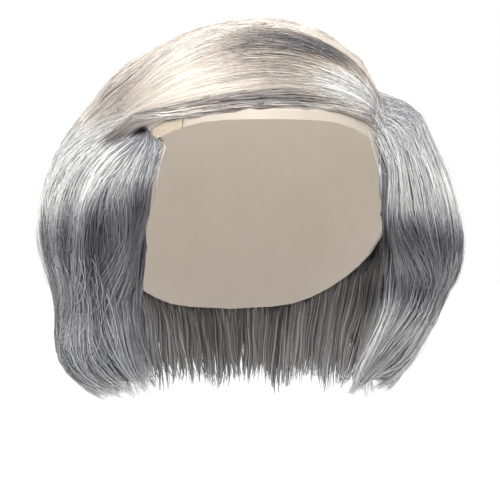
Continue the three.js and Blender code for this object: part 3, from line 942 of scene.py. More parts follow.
def hair_bed_piece(node, middle, foot):
    """The mass of a hair piece, cut off level at a foot."""
    piece = copy_of_node(node, node + "_bed")
    voxels = {"mode": "VOXEL", "voxel_size": BED_VOXEL * MM, "use_smooth_shade": True}
    apply_modifier(piece, "REMESH", voxels)
    apply_modifier(piece, "SMOOTH", {"factor": 0.5, "iterations": 8})
    draw_in(piece.data)
    apply_modifier(piece, "SMOOTH", {"factor": 0.5, "iterations": 4})
    bpy.ops.object.mode_set(mode="EDIT")
    bpy.ops.mesh.select_all(action="SELECT")
    bpy.ops.mesh.bisect(
        plane_co=(0.0, 0.0, foot * MM), plane_no=(0.0, 0.0, 1.0), use_fill=True, clear_inner=True
    )
    bpy.ops.object.mode_set(mode="OBJECT")
    map_flow(piece.data, middle)
    finish_piece(piece, hair_bed, node)


hair_bed_piece("side_hair_right", middle=-90.0, foot=SIDE_FOOT)
hair_bed_piece("side_hair_left", middle=90.0, foot=SIDE_FOOT)
hair_bed_piece("back_hair", middle=180.0, foot=BACK_FOOT)


# Locks in two tiers. The upper one is swept back from the pate, and the lower one hangs straight under it.

UPPER = {"sweep": 1.0, "most_back": 90.0, "root_clear": 0.0, "tip_hook": 0.16}
LOWER = {"sweep": 0.0, "most_back": 0.0, "root_clear": 6.0, "tip_hook": 0.0}
LOCK_STEPS = 12
ROOT_CROWD = 1.3
ROOT_STAND = 0.8
ROOT_RISE = 1.5
ROOT_RISE_AZIMUTHS = (45.0, 60.0)
ROOT_TUCK = 3.0
ROOT_TUCK_SHARE = (0.0, 0.15)
ROOT_CLEAR_SHARE = (0.0, 0.4)
TIP_SHARE = (0.75, 1.0)
TIP_TURN_SHARE = (0.58, 1.0)
TIP_TURN_POWER = 1.4
HOOK_TURNS = (2.0, 20.0)
LOOSENING = (0.05, 0.45)
OWN_SWAY = 0.5
OWN_TURNS = (0.8, 2.0)
PHASES = 6.28
SHARED_SWAY = 0.7
SWAY_SEED = 5
LIFT_SWAY = 0.8
LIFT_SEED = 9
STAND_OFF = 0.8
EDGE_PLAY = (0.3, 3.0)
FRONT_FILL = 8.0
FRONT_FILL_LEVELS = (-150.0, -185.0)

# Fuller places: the belly on the left, and the lower half on the right
BELLY = 3.5
BELLY_TOP = (-105.0, -120.0)
BELLY_FOOT = (-160.0, -145.0)
BELLY_FRONT = (35.0, 55.0)
BELLY_BACK = (140.0, 110.0)
LOWER_LIFT = 2.5
LOWER_LEVELS = (-145.0, -158.0)
LOWER_FRONT = (-50.0, -70.0)
LOWER_BACK = (-140.0, -110.0)


def sway(t, count, size, turns):
    """A wave of its own along each path."""
    height = random.normal(0.0, size, count)[:, None]
    rate = random.uniform(*turns, count)[:, None]
    phase = random.uniform(0.0, PHASES, count)[:, None]
    return height * np.sin(2 * np.pi * rate * t + phase)


def turned_back(azimuth, level, clear):
    """Azimuths with those in front of the front edge turned back to it, each with a play of its own."""
    turned = signed(azimuth)
    least = front_edge(turned, level) + random.uniform(*EDGE_PLAY, len(azimuth))[:, None]
    least = least + clear - FRONT_FILL * smooth_step(*FRONT_FILL_LEVELS, level)
    return np.where(np.abs(turned) < least, np.sign(turned) * least, azimuth)


def fullness(turned, level):
    """How far locks stand off, over the outer form, by azimuth and level."""
    belly = smooth_step(*BELLY_TOP, level) * smooth_step(*BELLY_FOOT, level)
    belly = belly * smooth_step(*BELLY_FRONT, turned)
    lower = smooth_step(*LOWER_LEVELS, level) * smooth_step(*LOWER_FRONT, turned)
    lower = lower * smooth_step(*LOWER_BACK, turned)
    return STAND_OFF + BELLY * belly * smooth_step(*BELLY_BACK, turned) + LOWER_LIFT * lower


def drape(root_azimuth, root_level, tip_level, inset, tuck, tier):
    """Paths of locks that fall from their roots over the outer form of the hair."""
    t = np.linspace(0.0, 1.0, LOCK_STEPS)[None, :] ** ROOT_CROWD
    hand = np.where(signed(root_azimuth) < 0, -1.0, 1.0)[:, None]
    root_polar = polar_angle(cap_radius(root_azimuth, root_level) + ROOT_STAND, root_level)
    root_polar = root_polar - ROOT_RISE * smooth_step(*ROOT_RISE_AZIMUTHS, np.abs(signed(root_azimuth)))
    full_sweep = tier["sweep"] * flow_of(root_azimuth, "")
    tip_turn = np.minimum(flow_of(root_azimuth, "tip"), tier["most_back"])
    tip_polar = polar_angle(hair_radius(root_azimuth + hand[:, 0] * full_sweep, tip_level), tip_level)
    hooked = tier["tip_hook"] * smooth_step(*HOOK_TURNS, np.abs(tip_turn))
    hook = hooked[:, None] * smooth_step(*TIP_SHARE, t)
    polar = root_polar[:, None] + (tip_polar - root_polar)[:, None] * (t - hook)
    drop = (root_level - tip_level)[:, None] * t
    level = root_level[:, None] - drop
    tip_part = smooth_step(*TIP_TURN_SHARE, t) ** TIP_TURN_POWER
    turn = full_sweep[:, None] * carried(drop) + tip_turn[:, None] * tip_part
    own = sway(t, len(root_azimuth), OWN_SWAY, OWN_TURNS)
    loose = smooth_step(*LOOSENING, t)
    azimuth = root_azimuth[:, None] + hand * turn
    azimuth = azimuth + loose * (field(root_azimuth[:, None], t, SHARED_SWAY, SWAY_SEED) + own)
    lift = fullness(signed(azimuth), level) - inset
    lift = lift + loose * field(root_azimuth[:, None], t, LIFT_SWAY, LIFT_SEED)
    lift = lift - tuck[:, None] * smooth_step(*TIP_SHARE, t) ** 2
    lift = lift - ROOT_TUCK * (1.0 - smooth_step(*ROOT_TUCK_SHARE, t))
    root_clear = tier["root_clear"] * (1.0 - smooth_step(*ROOT_CLEAR_SHARE, t))
    azimuth = turned_back(azimuth, level, root_clear)
    return smoothed_paths(dome_point(azimuth, polar, lift), 1)


def crowded(spots, weight, count):
    """Places spread along spots by their weight, each with a little play."""
    share = np.concatenate([[0.0], np.cumsum(0.5 * (weight[1:] + weight[:-1]))])
    wanted = (np.arange(count) + random.uniform(0.0, 1.0, count)) / count * share[-1]
    return np.interp(wanted, share, spots)


ROOT_SPOTS = 300
CROWD_AZIMUTH = 38.0
CROWD_FADE = 9.0


def even(low, high, count, front_weight):
    """Azimuths spread evenly with a little play, more of them near the front edge."""
    spots = np.linspace(low, high, ROOT_SPOTS)
    off_front = np.abs(signed(spots)) - CROWD_AZIMUTH
    return crowded(spots, 1.0 + front_weight * np.exp(-off_front / CROWD_FADE), count)


FRONT_ROOT = 43.5
ROOT_OVER = 0.5
ROOT_ROWS = {"right": 9.0, "left": 4.0}
CORNER_RISE = 8.0
CORNER_RISE_AZIMUTHS = (-56.0, -49.0)
TIP_PLAY = 7.0
UPPER_INSET = 1.1
UPPER_TUCK = 5.0
LOWER_ROOTS = (-125.0, -90.0)
SIDE_TO = 100.0
FOOT_PAST = 2.0
FOOT_PLAY = 3.0
CORNER_DROP = 12.0
CORNER_DROP_AZIMUTHS = (72.0, 58.0)
UNDER_INSET = 5.0
UNDER_LEVELS = (-150.0, -126.0)
LOWER_INSET = 1.0
LOWER_TUCK = 2.0


def upper_tier(azimuths):
    count = len(azimuths)
    turn = signed(azimuths)
    row = np.where(turn > 0, ROOT_ROWS["left"], ROOT_ROWS["right"])
    off_edge = np.sign(turn) * np.maximum(np.abs(turn), FRONT_ROOT)
    root_level = hair_top(off_edge) + ROOT_OVER - np.abs(random.normal(0.0, 1.0, count)) * row
    root_level = root_level + CORNER_RISE * smooth_step(*CORNER_RISE_AZIMUTHS, turn) * (turn < 0)
    tip_level = flow_of(azimuths, "end") + random.normal(0.0, TIP_PLAY, count)
    inset = np.abs(random.normal(0.0, UPPER_INSET, count))[:, None]
    tuck = random.uniform(0.0, UPPER_TUCK, count)
    return drape(azimuths, root_level, tip_level, inset, tuck, UPPER)


def lower_tier(azimuths):
    count = len(azimuths)
    turn = signed(azimuths)
    root_level = random.uniform(*LOWER_ROOTS, count)
    side = np.abs(turn) < SIDE_TO
    foot_azimuth = np.where(side, azimuths + np.sign(turn) * FRONT_FILL, azimuths)
    tip_level = hair_foot(foot_azimuth) - FOOT_PAST + np.abs(random.normal(0.0, FOOT_PLAY, count))
    tip_level = tip_level - CORNER_DROP * smooth_step(*CORNER_DROP_AZIMUTHS, turn) * (turn > 0)
    t = np.linspace(0.0, 1.0, LOCK_STEPS)[None, :] ** ROOT_CROWD
    level = root_level[:, None] + (tip_level - root_level)[:, None] * t
    under = UNDER_INSET * smooth_step(*UNDER_LEVELS, level)
    inset = np.abs(random.normal(0.0, LOWER_INSET, count))[:, None] + under
    tuck = random.uniform(0.0, LOWER_TUCK, count)
    return drape(azimuths, root_level, tip_level, inset, tuck, LOWER)


# Single hairs beside the locks

STRAND_STEPS = 10
STRAND_WAVE = 0.55
STRAND_TURNS = (0.8, 3.5)
STRAND_GATHER = 0.3
STRAND_RISE = (0.1, 1.0)
STRAND_RISE_SHARE = (0.0, 0.2)
WAVE_LIFT = 0.5
WHITE_SHARE = 0.33
WHITE_TONES = (0.85, 1.0)
OTHER_TONES = (0.0, 0.8)
TIP_LIGHT = 0.34
TIP_LIGHT_SHARE = (0.7, 0.95)
UPPER_BESIDE = {"spread": 1.6, "lift": 0.9, "shortest": 0.8}
LOWER_BESIDE = {"spread": 1.4, "lift": 0.6, "shortest": 0.9}
LOCK_HALF_WIDTHS = (0.42, 1.0)
TIER_WIDTHS = (1.0, 0.85)
STRAND_RADII = (0.09, 0.19)
STRAND_PLAY = 0.12


def behind_edge(points):
    """Points with those in front of the hair's front edge turned back to it."""
    azimuth = np.degrees(np.arctan2(points[..., 0], -points[..., 1]))
    level = points[..., 2]
    return polar_point(turned_back(azimuth, level, 0.0), np.hypot(points[..., 0], points[..., 1]), level)


def beside(paths, count, spread, lift, shortest):
    """Single hairs that run beside locks, close at the root and looser towards the tip."""
    chosen = random.integers(0, len(paths), count)
    t = np.linspace(0.0, 1.0, paths.shape[1])[None, :]
    guide = paths[chosen]
    tangent = unit(np.gradient(guide, axis=1))
    outward = unit(guide - WIG_CENTRE)
    side = unit(np.cross(tangent, outward))
    turns = random.uniform(*STRAND_TURNS, count)[:, None]
    phase = random.uniform(0.0, 2 * np.pi, count)[:, None]
    play = random.normal(0.0, STRAND_WAVE, count)[:, None] * np.sin(2 * np.pi * turns * t + phase)
    across = random.normal(0.0, spread, count)[:, None] * (1.0 - STRAND_GATHER * t) + play
    rise = lift * random.uniform(*STRAND_RISE, count)[:, None] * smooth_step(*STRAND_RISE_SHARE, t)
    stand = rise + WAVE_LIFT * play
    loose = guide + across[..., None] * side + stand[..., None] * outward
    return resampled(behind_edge(loose), random.uniform(shortest, 1.0, count), STRAND_STEPS)


def grey_tones(count):
    """Tones of single hairs, a third of them nearly white."""
    white = random.uniform(0.0, 1.0, count) < WHITE_SHARE
    return np.where(white, random.uniform(*WHITE_TONES, count), random.uniform(*OTHER_TONES, count))


def tip_light(tiers, steps):
    """Lighter painted shade at the tips of the upper tier, where its curls stand out against the tier
    below.
    """
    lightest = random.uniform(0.0, TIP_LIGHT, sum(tiers)) * np.repeat([1.0, 0.0], tiers)
    return lightest[:, None] * smooth_step(*TIP_LIGHT_SHARE, np.linspace(0.0, 1.0, steps))[None, :]


def hair_piece(name, upper_azimuths, lower_azimuths, upper_strands, lower_strands):
    """Locks and single hairs of one side or the back."""
    upper = upper_tier(upper_azimuths)
    lower = lower_tier(lower_azimuths)
    locks = np.concatenate([upper, lower])
    tiers = [len(upper), len(lower)]
    half_width = random.uniform(*LOCK_HALF_WIDTHS, len(locks)) * np.repeat(TIER_WIDTHS, tiers)
    lock_shades = painted_path_shades(locks) + tip_light(tiers, LOCK_STEPS)
    lock_piece(name + "_locks", locks, half_width, lock_shades, grey_locks)
    beside_upper = beside(upper, upper_strands, **UPPER_BESIDE)
    beside_lower = beside(lower, lower_strands, **LOWER_BESIDE)
    strands = np.concatenate([beside_upper, beside_lower])
    radii = random.uniform(*STRAND_RADII, len(strands))
    shades = painted_path_shades(strands) + random.normal(0.0, STRAND_PLAY, len(strands))[:, None]
    shades = shades + tip_light([upper_strands, lower_strands], STRAND_STEPS)
    tones = grey_tones(len(strands))
    strand_piece(name + "_strands", strands, radii, tones, shades, grey_strands)


hair_piece(
    "side_hair_right",
    -even(low=37.0, high=121.0, count=620, front_weight=2.4),
    -even(low=46.0, high=122.0, count=400, front_weight=1.0),
    upper_strands=1450,
    lower_strands=850,
)
hair_piece(
    "side_hair_left",
    even(low=42.0, high=121.0, count=620, front_weight=2.0),
    even(low=46.0, high=122.0, count=400, front_weight=1.0),
    upper_strands=1450,
    lower_strands=850,
)
hair_piece(
    "back_hair",
    even(low=117.0, high=243.0, count=560, front_weight=0.0),
    even(low=117.0, high=243.0, count=440, front_weight=0.0),
    upper_strands=780,
    lower_strands=430,
)


# Hair on the inside, from the rim of the cap to the foot

INNER_LOCKS = 400
INNER_STRANDS = 300
INNER_FOOT = -148.0
INNER_ROOT_PLAY = (-2.0, 3.0)
INNER_PAST = 1.0
INNER_TIP_PLAY = 4.0
INNER_SWAY = 0.5
INNER_SEED = 17
INNER_LEAN = 0.8
INNER_STAND = (0.5, 2.0)
INNER_STAND_SHARE = (0.0, 0.2)
INNER_HALF_WIDTHS = (0.7, 1.4)
INNER_RADII = (0.1, 0.18)
INNER_BESIDE = {"spread": 1.6, "lift": -0.8, "shortest": 0.8}


def inner_hair():
    """Locks and single hairs on the inside."""
    azimuths = even(low=56.0, high=304.0, count=INNER_LOCKS, front_weight=0.0)
    root_level = cap_rim(azimuths) + random.uniform(*INNER_ROOT_PLAY, INNER_LOCKS)
    tip_level = hair_foot(azimuths) - INNER_PAST + np.abs(random.normal(0.0, INNER_TIP_PLAY, INNER_LOCKS))
    t = np.linspace(0.0, 1.0, LOCK_STEPS)[None, :]
    level = root_level[:, None] + (tip_level - root_level)[:, None] * t
    lean = random.normal(0.0, INNER_LEAN, INNER_LOCKS)[:, None] * t
    azimuth = azimuths[:, None] + field(azimuths[:, None], t, INNER_SWAY, INNER_SEED) + lean
    at_foot = np.where(level < INNER_FOOT, inner_radius(azimuth, INNER_FOOT + 0.0 * level), FAR)
    stand = random.uniform(*INNER_STAND, INNER_LOCKS)[:, None] * smooth_step(*INNER_STAND_SHARE, t)
    radius = np.minimum(inner_radius(azimuth, level), at_foot) - stand
    paths = smoothed_paths(polar_point(azimuth, radius, level), 1)
    half_width = random.uniform(*INNER_HALF_WIDTHS, INNER_LOCKS)
    lock_piece("inner_hair_locks", paths, half_width, painted_path_shades(paths), grey_locks)
    strands = beside(paths, INNER_STRANDS, **INNER_BESIDE)
    radii = random.uniform(*INNER_RADII, INNER_STRANDS)
    tones = grey_tones(INNER_STRANDS)
    shades = painted_path_shades(strands)
    strand_piece("inner_hair_strands", strands, radii, tones, shades, grey_strands)


inner_hair()


# Comb-over. Each row is a line of combing, front to back: where it leaves the part and where it reaches
# the other side, how far it sags, how crowded its strands are, and the share that go the whole way.

COMB_LINES = table(
    ("order", "part", "part_level", "end", "end_level", "sag", "crowd", "passing"),
    (0.0, 41, -53, -47, -52, 7.5, 2, 0.3),
    (0.06, 42, -51, -49, -51, 11.5, 6, 0.7),
    (0.085, 42.5, -50, -50, -50, 13.5, 7, 0.8),
    (0.1, 43, -49, -51, -49, 14.2, 12, 0.8),
    (0.112, 44, -48, -52, -48, 13.2, 6, 0.6),
    (0.14, 46, -46, -54, -46, 10, 8, 0.12),
    (0.22, 51, -42, -60, -44, 5, 10, 0.1),
    (0.29, 57, -39, -69, -41, 2, 14, 0.16),
    (0.36, 64, -38, -80, -36, 0.5, 8, 0.7),
    (0.41, 70, -38.5, -89, -32, 0, 7, 1),
    (0.53, 86, -35.5, -106, -21, 0, 5, 1),
    (0.69, 110, -29.5, -133, -10, 0, 4, 1),
    (0.86, 138, -21, -165, -10, 0, 4, 1),
    (1.0, 164, -19, -184, -17, 0, 4, 1),
)

# Shade near the part, in the middle and at the far side, and the shares of the way over at which it leaves
# the first and arrives at the last
COMB_SHADES = table(
    ("order", "near", "middle", "far", "leave", "arrive"),
    (0.0, 0.7, 0.64, 0.7, 0.25, 0.66),
    (0.08, 0.7, 0.58, 0.7, 0.25, 0.66),
    (0.086, 0.78, 0.26, 0.72, 0.25, 0.66),
    (0.105, 0.78, 0.1, 0.72, 0.25, 0.66),
    (0.112, 0.85, 0.36, 0.55, 0.25, 0.65),
    (0.125, 0.95, 0.6, 0.65, 0.32, 0.65),
    (0.16, 0.95, 0.55, 0.65, 0.32, 0.6),
    (0.21, 0.95, 0.36, 0.65, 0.28, 0.58),
    (0.24, 0.9, 0.12, 0.65, 0.24, 0.58),
    (0.26, 0.85, 0.02, 0.7, 0.16, 0.55),
    (0.31, 0.8, 0.0, 0.8, 0.12, 0.52),
    (0.33, 0.7, 0.3, 0.8, 0.12, 0.52),
    (0.35, 0.66, 0.72, 0.76, 0.15, 0.6),
    (0.44, 0.6, 0.6, 0.66, 0.3, 0.7),
    (0.7, 0.5, 0.45, 0.6, 0.3, 0.7),
    (1.0, 0.45, 0.42, 0.5, 0.3, 0.7),
)
COMB_STEPS = 10
WHOLE_WAY = 1.5

# Form over the pate: a sag, a step behind the dark patch, a crest at the far side and a tuck at the part
PATE_STEPS = 30
PART_LEAD = -0.04
SAG_LEAST = 0.7
SAG_LEAN = 0.6
CREST = 4.0
CREST_FRONT = (0.3, 0.45)
CREST_BACK = (0.75, 0.55)
CREST_SHARE = (0.86, 1.0)
ONTO_HAIR = (0.8, 1.0)
STEP_LIFT = 1.2
STEP_FALL = 1.8
STEP_PLACE = (0.5, 0.56)
STEP_START = (0.08, 0.25)
STEP_END = (0.95, 0.75)
STEP_ORDERS = (0.33, 0.39)
LEAST_TUCK = 0.5
PART_TUCK = 0.8
TUCK_ORDERS = (0.2, 0.32)
TUCK_TO = 0.1
FRONT_LIFT = 0.5
FRONT_ORDERS = (0.16, 0.1)

# Form down the other side
SIDE_STEPS = 14
SIDE_START = 0.05
LEAST_SWEEP = 14.0
LEAST_SWEEP_TO = 75.0
SETTLE_DROP = (0.0, 30.0)
STREAK_BACK = (0.14, 0.11)
LONGEST_RUN = 70.0
STREAK_SHORTER = 54.0
BACK_SHORTER = 50.0
BACK_ORDERS = (0.45, 0.75)
LAST_SHORTER = 12.0
LAST_ORDERS = (0.85, 1.0)
RUN_PLAY = (0.3, 1.0)

# Shades: a brown edge at the far side, light ends, and painted corner shade where the streak goes on past
# the pate
SHADE_EASE = 0.12
BROWN_SHADE = 0.3
BROWN_EDGE = 0.5
BROWN_PLACE = (0.74, 0.9)
BROWN_FRONT = (0.16, 0.22)
BROWN_BACK = (0.45, 0.38)
END_FADE = 0.85
END_SHADE = 0.85
END_SHARE = (0.7, 1.0)
STREAK_CORNER_SHADE = 0.2
PAST_PATE = (0.9, 1.1)


def crest_of(order):
    """How far strands stand off where they leave the pate."""
    return (CREST * smooth_step(*CREST_FRONT, order) * smooth_step(*CREST_BACK, order))[:, None]


def pate_stand(order, share, lift):
    """How far strands stand off along their way over the pate."""
    past_step = smooth_step(*STEP_PLACE, share)
    step_up = STEP_LIFT * (1.0 - STEP_FALL * past_step)
    step_up = step_up * smooth_step(*STEP_START, share) * smooth_step(*STEP_END, share)
    step_up = step_up * smooth_step(*STEP_ORDERS, order)[:, None]
    tuck = (LEAST_TUCK + PART_TUCK * smooth_step(*TUCK_ORDERS, order))[:, None]
    tuck = tuck * (1.0 - smooth_step(PART_LEAD, TUCK_TO, share))
    forward = FRONT_LIFT * smooth_step(*FRONT_ORDERS, order)[:, None]
    return lift[:, None] + forward + crest_of(order) * smooth_step(*CREST_SHARE, share) + step_up - tuck


def pate_paths(order, end_order, end_azimuth, end_level, lift):
    """Dense paths from the part over the pate."""
    start_azimuth = column(COMB_LINES, "order", "part", order)
    start_level = column(COMB_LINES, "order", "part_level", order)
    start = polar_point(start_azimuth, cap_radius(start_azimuth, start_level), start_level)
    end = polar_point(end_azimuth, cap_radius(end_azimuth, end_level), end_level)
    way = np.linspace(PART_LEAD, 1.0, PATE_STEPS)[None, :, None]
    sag = column(COMB_LINES, "order", "sag", 0.5 * (order + end_order))[:, None, None]
    sag = sag * 4.0 * way * (1.0 - way) * (SAG_LEAST + SAG_LEAN * way)
    chord = start[:, None, :] + (end - start)[:, None, :] * way - sag * np.array([0.0, 0.0, 1.0])
    share = way[..., 0]
    return over_pate(chord, pate_stand(order, share, lift), smooth_step(*ONTO_HAIR, share))


def side_paths(order, end_azimuth, end_level, run, lift):
    """Dense paths on down the other side, swept back with the hair there."""
    drop = run[:, None] * np.linspace(SIDE_START, 1.0, SIDE_STEPS)[None, :]
    level = end_level[:, None] - drop
    swept = flow_of(end_azimuth, "")
    swept = np.where(np.abs(end_azimuth) < LEAST_SWEEP_TO, np.maximum(swept, LEAST_SWEEP), swept)
    azimuth = end_azimuth[:, None] - swept[:, None] * carried(drop)
    settle = crest_of(order) * (1.0 - smooth_step(*SETTLE_DROP, drop))
    return polar_point(azimuth, hair_radius(azimuth, level) + lift[:, None] + settle, level)


def comb_shades(order, reach, passed, least_shade):
    """Shades along strands over the pate, by how much of it they have passed."""
    near, middle, far, leave, arrive = (
        column(COMB_SHADES, "order", key, order)[:, None]
        for key in ("near", "middle", "far", "leave", "arrive")
    )
    shades = near + (middle - near) * smooth_step(-SHADE_EASE, SHADE_EASE, passed - leave)
    shades = shades + (far - middle) * smooth_step(-SHADE_EASE, SHADE_EASE, passed - arrive)
    shades = np.maximum(shades, least_shade[:, None])
    brown = smooth_step(*BROWN_PLACE, passed) * smooth_step(*BROWN_FRONT, order)[:, None]
    brown = brown * smooth_step(*BROWN_BACK, order)[:, None]
    shades = shades + (BROWN_SHADE - shades) * BROWN_EDGE * brown
    along = np.linspace(0.0, 1.0, COMB_STEPS)[None, :]
    fade = END_FADE * (reach < 1.0)[:, None] * smooth_step(*END_SHARE, along)
    return shades + (END_SHADE - shades) * fade


def comb_paths(order, end_order, reach, run, lift, least_shade):
    """Paths over the pate and, where the reach passes 1, on down the other side; and their shades."""
    end_azimuth = column(COMB_LINES, "order", "end", end_order)
    end_level = column(COMB_LINES, "order", "end_level", end_order)
    over = pate_paths(order, end_order, end_azimuth, end_level, lift)
    beyond = side_paths(order, end_azimuth, end_level, run, lift)
    dense = smoothed_paths(np.concatenate([over, beyond], axis=1), 3)
    pate_length = np.sum(np.linalg.norm(np.diff(over, axis=1), axis=2), axis=1)
    pate_share = pate_length / (pate_length + run)
    cut = np.where(reach < 1.0, reach * pate_share, 1.0)
    passed = np.linspace(0.0, 1.0, COMB_STEPS)[None, :] * (cut / pate_share)[:, None]
    shades = comb_shades(order, reach, passed, least_shade)
    paths = resampled(dense, cut, COMB_STEPS)
    # Past the pate strands take the painted shade of the hair there, the streak's that of the front corner
    side_shades = painted_path_shades(paths)
    side_shades = side_shades + (STREAK_CORNER_SHADE - side_shades) * smooth_step(*STREAK_BACK, order)[:, None]
    return paths, shades + (side_shades - shades) * smooth_step(*PAST_PATE, passed)


def run_beyond(order):
    """How far strands run on down the other side: less from the streak and towards the back."""
    longest = LONGEST_RUN - STREAK_SHORTER * smooth_step(*STREAK_BACK, order)
    longest = longest - BACK_SHORTER * smooth_step(*BACK_ORDERS, order)
    play = random.uniform(*RUN_PLAY, len(order))
    return play * (longest - LAST_SHORTER * smooth_step(*LAST_ORDERS, order))


COMB_SPOTS = 400
COMB_STRANDS = 3000
STRAND_STRAY = 0.012
SHORT_REACH = (0.3, 0.7)
STRAND_STAND = 0.2
STRAND_STAND_PLAY = 0.5
BALD = (0.13, 0.34)
FINE_SHADE = 0.66
FINE_WIDTH = 0.5
COMB_SWAY = 0.5
COMB_TURNS = (0.8, 2.5)
COMB_RADII = (0.09, 0.15)


def combed_order(count):
    spots = np.linspace(0.0, 1.0, COMB_SPOTS)
    return crowded(spots, column(COMB_LINES, "order", "crowd", spots), count)


def comb_strands(name, order, material):
    """Single hairs over the pate; those that cross its bald place are fine and light."""
    count = len(order)
    strayed = np.abs(order + random.normal(0.0, STRAND_STRAY, count))
    end_order = 1.0 - np.abs(1.0 - strayed)
    passes = random.uniform(0.0, 1.0, count) < column(COMB_LINES, "order", "passing", order)
    reach = np.where(passes, WHOLE_WAY, random.uniform(*SHORT_REACH, count))
    lift = STRAND_STAND + np.abs(random.normal(0.0, STRAND_STAND_PLAY, count))
    fine = passes & (order > BALD[0]) & (order < BALD[1])
    paths, shades = comb_paths(order, end_order, reach, run_beyond(order), lift, FINE_SHADE * fine)
    ripple = sway(np.linspace(0.0, 1.0, COMB_STEPS)[None, :], count, COMB_SWAY, COMB_TURNS)
    across = unit(np.cross(np.gradient(paths, axis=1), paths - WIG_CENTRE))
    paths = paths + ripple[..., None] * across
    radii = random.uniform(*COMB_RADII, count) * np.where(fine, FINE_WIDTH, 1.0)
    tones = random.uniform(0.0, 1.0, count)
    strand_piece(name, paths, radii, tones, shades, material)


LOCK_STRAY = 0.01
LOCK_STAND = 0.1
LOCK_STAND_PLAY = 0.4
COMB_HALF_WIDTHS = (0.4, 1.0)


def comb_locks(name, order, reach):
    """Flat locks over the pate."""
    count = len(order)
    end_order = np.clip(order + random.normal(0.0, LOCK_STRAY, count), 0.0, 1.0)
    lift = LOCK_STAND + np.abs(random.normal(0.0, LOCK_STAND_PLAY, count))
    paths, shades = comb_paths(order, end_order, reach, run_beyond(order), lift, np.zeros(count))
    half_width = random.uniform(*COMB_HALF_WIDTHS, count)
    return lock_piece(name, paths, half_width, shades, thin_locks)


# The streak along the front has more grey hairs than those before it
STREAK = (0.086, 0.114)
STREAK_GREY = 0.65
FRONT_GREY = 0.5
strand_orders = combed_order(COMB_STRANDS)
grey_share = np.where(strand_orders > STREAK[0], STREAK_GREY, FRONT_GREY)
in_streak = (strand_orders < STREAK[1]) & (random.uniform(0.0, 1.0, COMB_STRANDS) < grey_share)
comb_strands("comb_over_strands", strand_orders[~in_streak], thin_strands)
comb_strands("comb_streak_strands", strand_orders[in_streak], grey_strands)

CROWN_LOCKS = 400
CROWN_ORDERS = (0.18, 1.0)
CROWN_SHORT_TO = 0.38
CROWN_SHORT_REACH = (0.3, 0.6)
STREAK_LOCKS = 44
STREAK_LOCK_ORDERS = (0.092, 0.108)
crown_orders = random.uniform(*CROWN_ORDERS, CROWN_LOCKS)
short_reach = random.uniform(*CROWN_SHORT_REACH, CROWN_LOCKS)
crown_reach = np.where(crown_orders < CROWN_SHORT_TO, short_reach, WHOLE_WAY)
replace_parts(comb_locks("comb_over_locks", crown_orders, crown_reach), "comb_over")
streak_orders = random.uniform(*STREAK_LOCK_ORDERS, STREAK_LOCKS)
comb_locks("comb_streak_locks", streak_orders, np.full(STREAK_LOCKS, WHOLE_WAY))


# Loose hairs: short crossing ones where the part meets the front edge, some that stand off the sides, and
# curls on the right

LOOSE_LOWEST = 138.0
LOOSE_STAND = 0.4
LOOSE_RISE = 0.15
LOOSE_SPAN = 0.75
LOOSE_THINNEST = 0.04
LOOSE_TONES = (0.4, 1.0)


def loose_hairs(name, azimuth, level, azimuth_run, polar_run, stand, bent, light, thickest):
    """Short curved hairs over the outer form, from their roots by a run each way, a little lighter than the
    painted shade of the hair.
    """
    count = len(azimuth)
    t = np.linspace(0.0, 1.0, STRAND_STEPS)[None, :]
    bend = random.normal(*bent, count)[:, None] * np.sin(np.pi * t)
    across = azimuth[:, None] + azimuth_run[:, None] * (t + bend)
    root_polar = polar_angle(hair_radius(azimuth, level), level)
    fall = np.minimum(polar_run, LOOSE_LOWEST - root_polar)
    polar = root_polar[:, None] + fall[:, None] * (t - bend)
    lift = STAND_OFF + LOOSE_STAND + stand[:, None] * np.sin(np.pi * (LOOSE_RISE + LOOSE_SPAN * t))
    paths = dome_point(across, polar, lift)
    radii = random.uniform(LOOSE_THINNEST, thickest, count)
    tones = random.uniform(*LOOSE_TONES, count)
    strand_piece(name, paths, radii, tones, painted_path_shades(paths) + light, grey_strands)


GATHERED = 150
loose_hairs(
    "gathered_hairs",
    azimuth=random.normal(47.0, 4.0, GATHERED),
    level=random.normal(-48.0, 6.5, GATHERED),
    azimuth_run=random.uniform(-5.0, 14.0, GATHERED),
    polar_run=random.uniform(-14.0, 18.0, GATHERED),
    stand=random.uniform(0.5, 3.0, GATHERED),
    bent=(0.0, 0.25),
    light=0.15,
    thickest=0.11,
)
LOOSE = 540
LOOSE_FRONT = 56.0
LOOSE_BACK = 150.0
loose_place = random.uniform(LOOSE_FRONT, LOOSE_BACK, LOOSE)
loose_side = np.where(random.uniform(0.0, 1.0, LOOSE) < 0.5, -1.0, 1.0)
loose_hairs(
    "loose_hairs",
    azimuth=loose_side * loose_place,
    level=random.uniform(-160.0, -60.0, LOOSE),
    azimuth_run=loose_side * np.maximum(random.normal(4.0, 12.0, LOOSE), LOOSE_FRONT - loose_place),
    polar_run=random.uniform(6.0, 28.0, LOOSE),
    stand=random.uniform(0.4, 3.0, LOOSE),
    bent=(0.0, 0.4),
    light=0.15,
    thickest=0.085,
)
CURLS = 130
CURLS_MEET = 80.0
curl_place = random.uniform(58.0, 100.0, CURLS)
loose_hairs(
    "curled_hairs",
    azimuth=-curl_place,
    level=random.uniform(-140.0, -118.0, CURLS),
    azimuth_run=random.normal(13.0, 3.0, CURLS) * np.sign(curl_place - CURLS_MEET),
    polar_run=random.uniform(10.0, 16.0, CURLS),
    stand=random.uniform(0.6, 2.2, CURLS),
    bent=(-0.35, 0.1),
    light=0.35,
    thickest=0.12,
)


# Studio: pale floor, white surround, a large soft key from above the front and a soft fill from each side

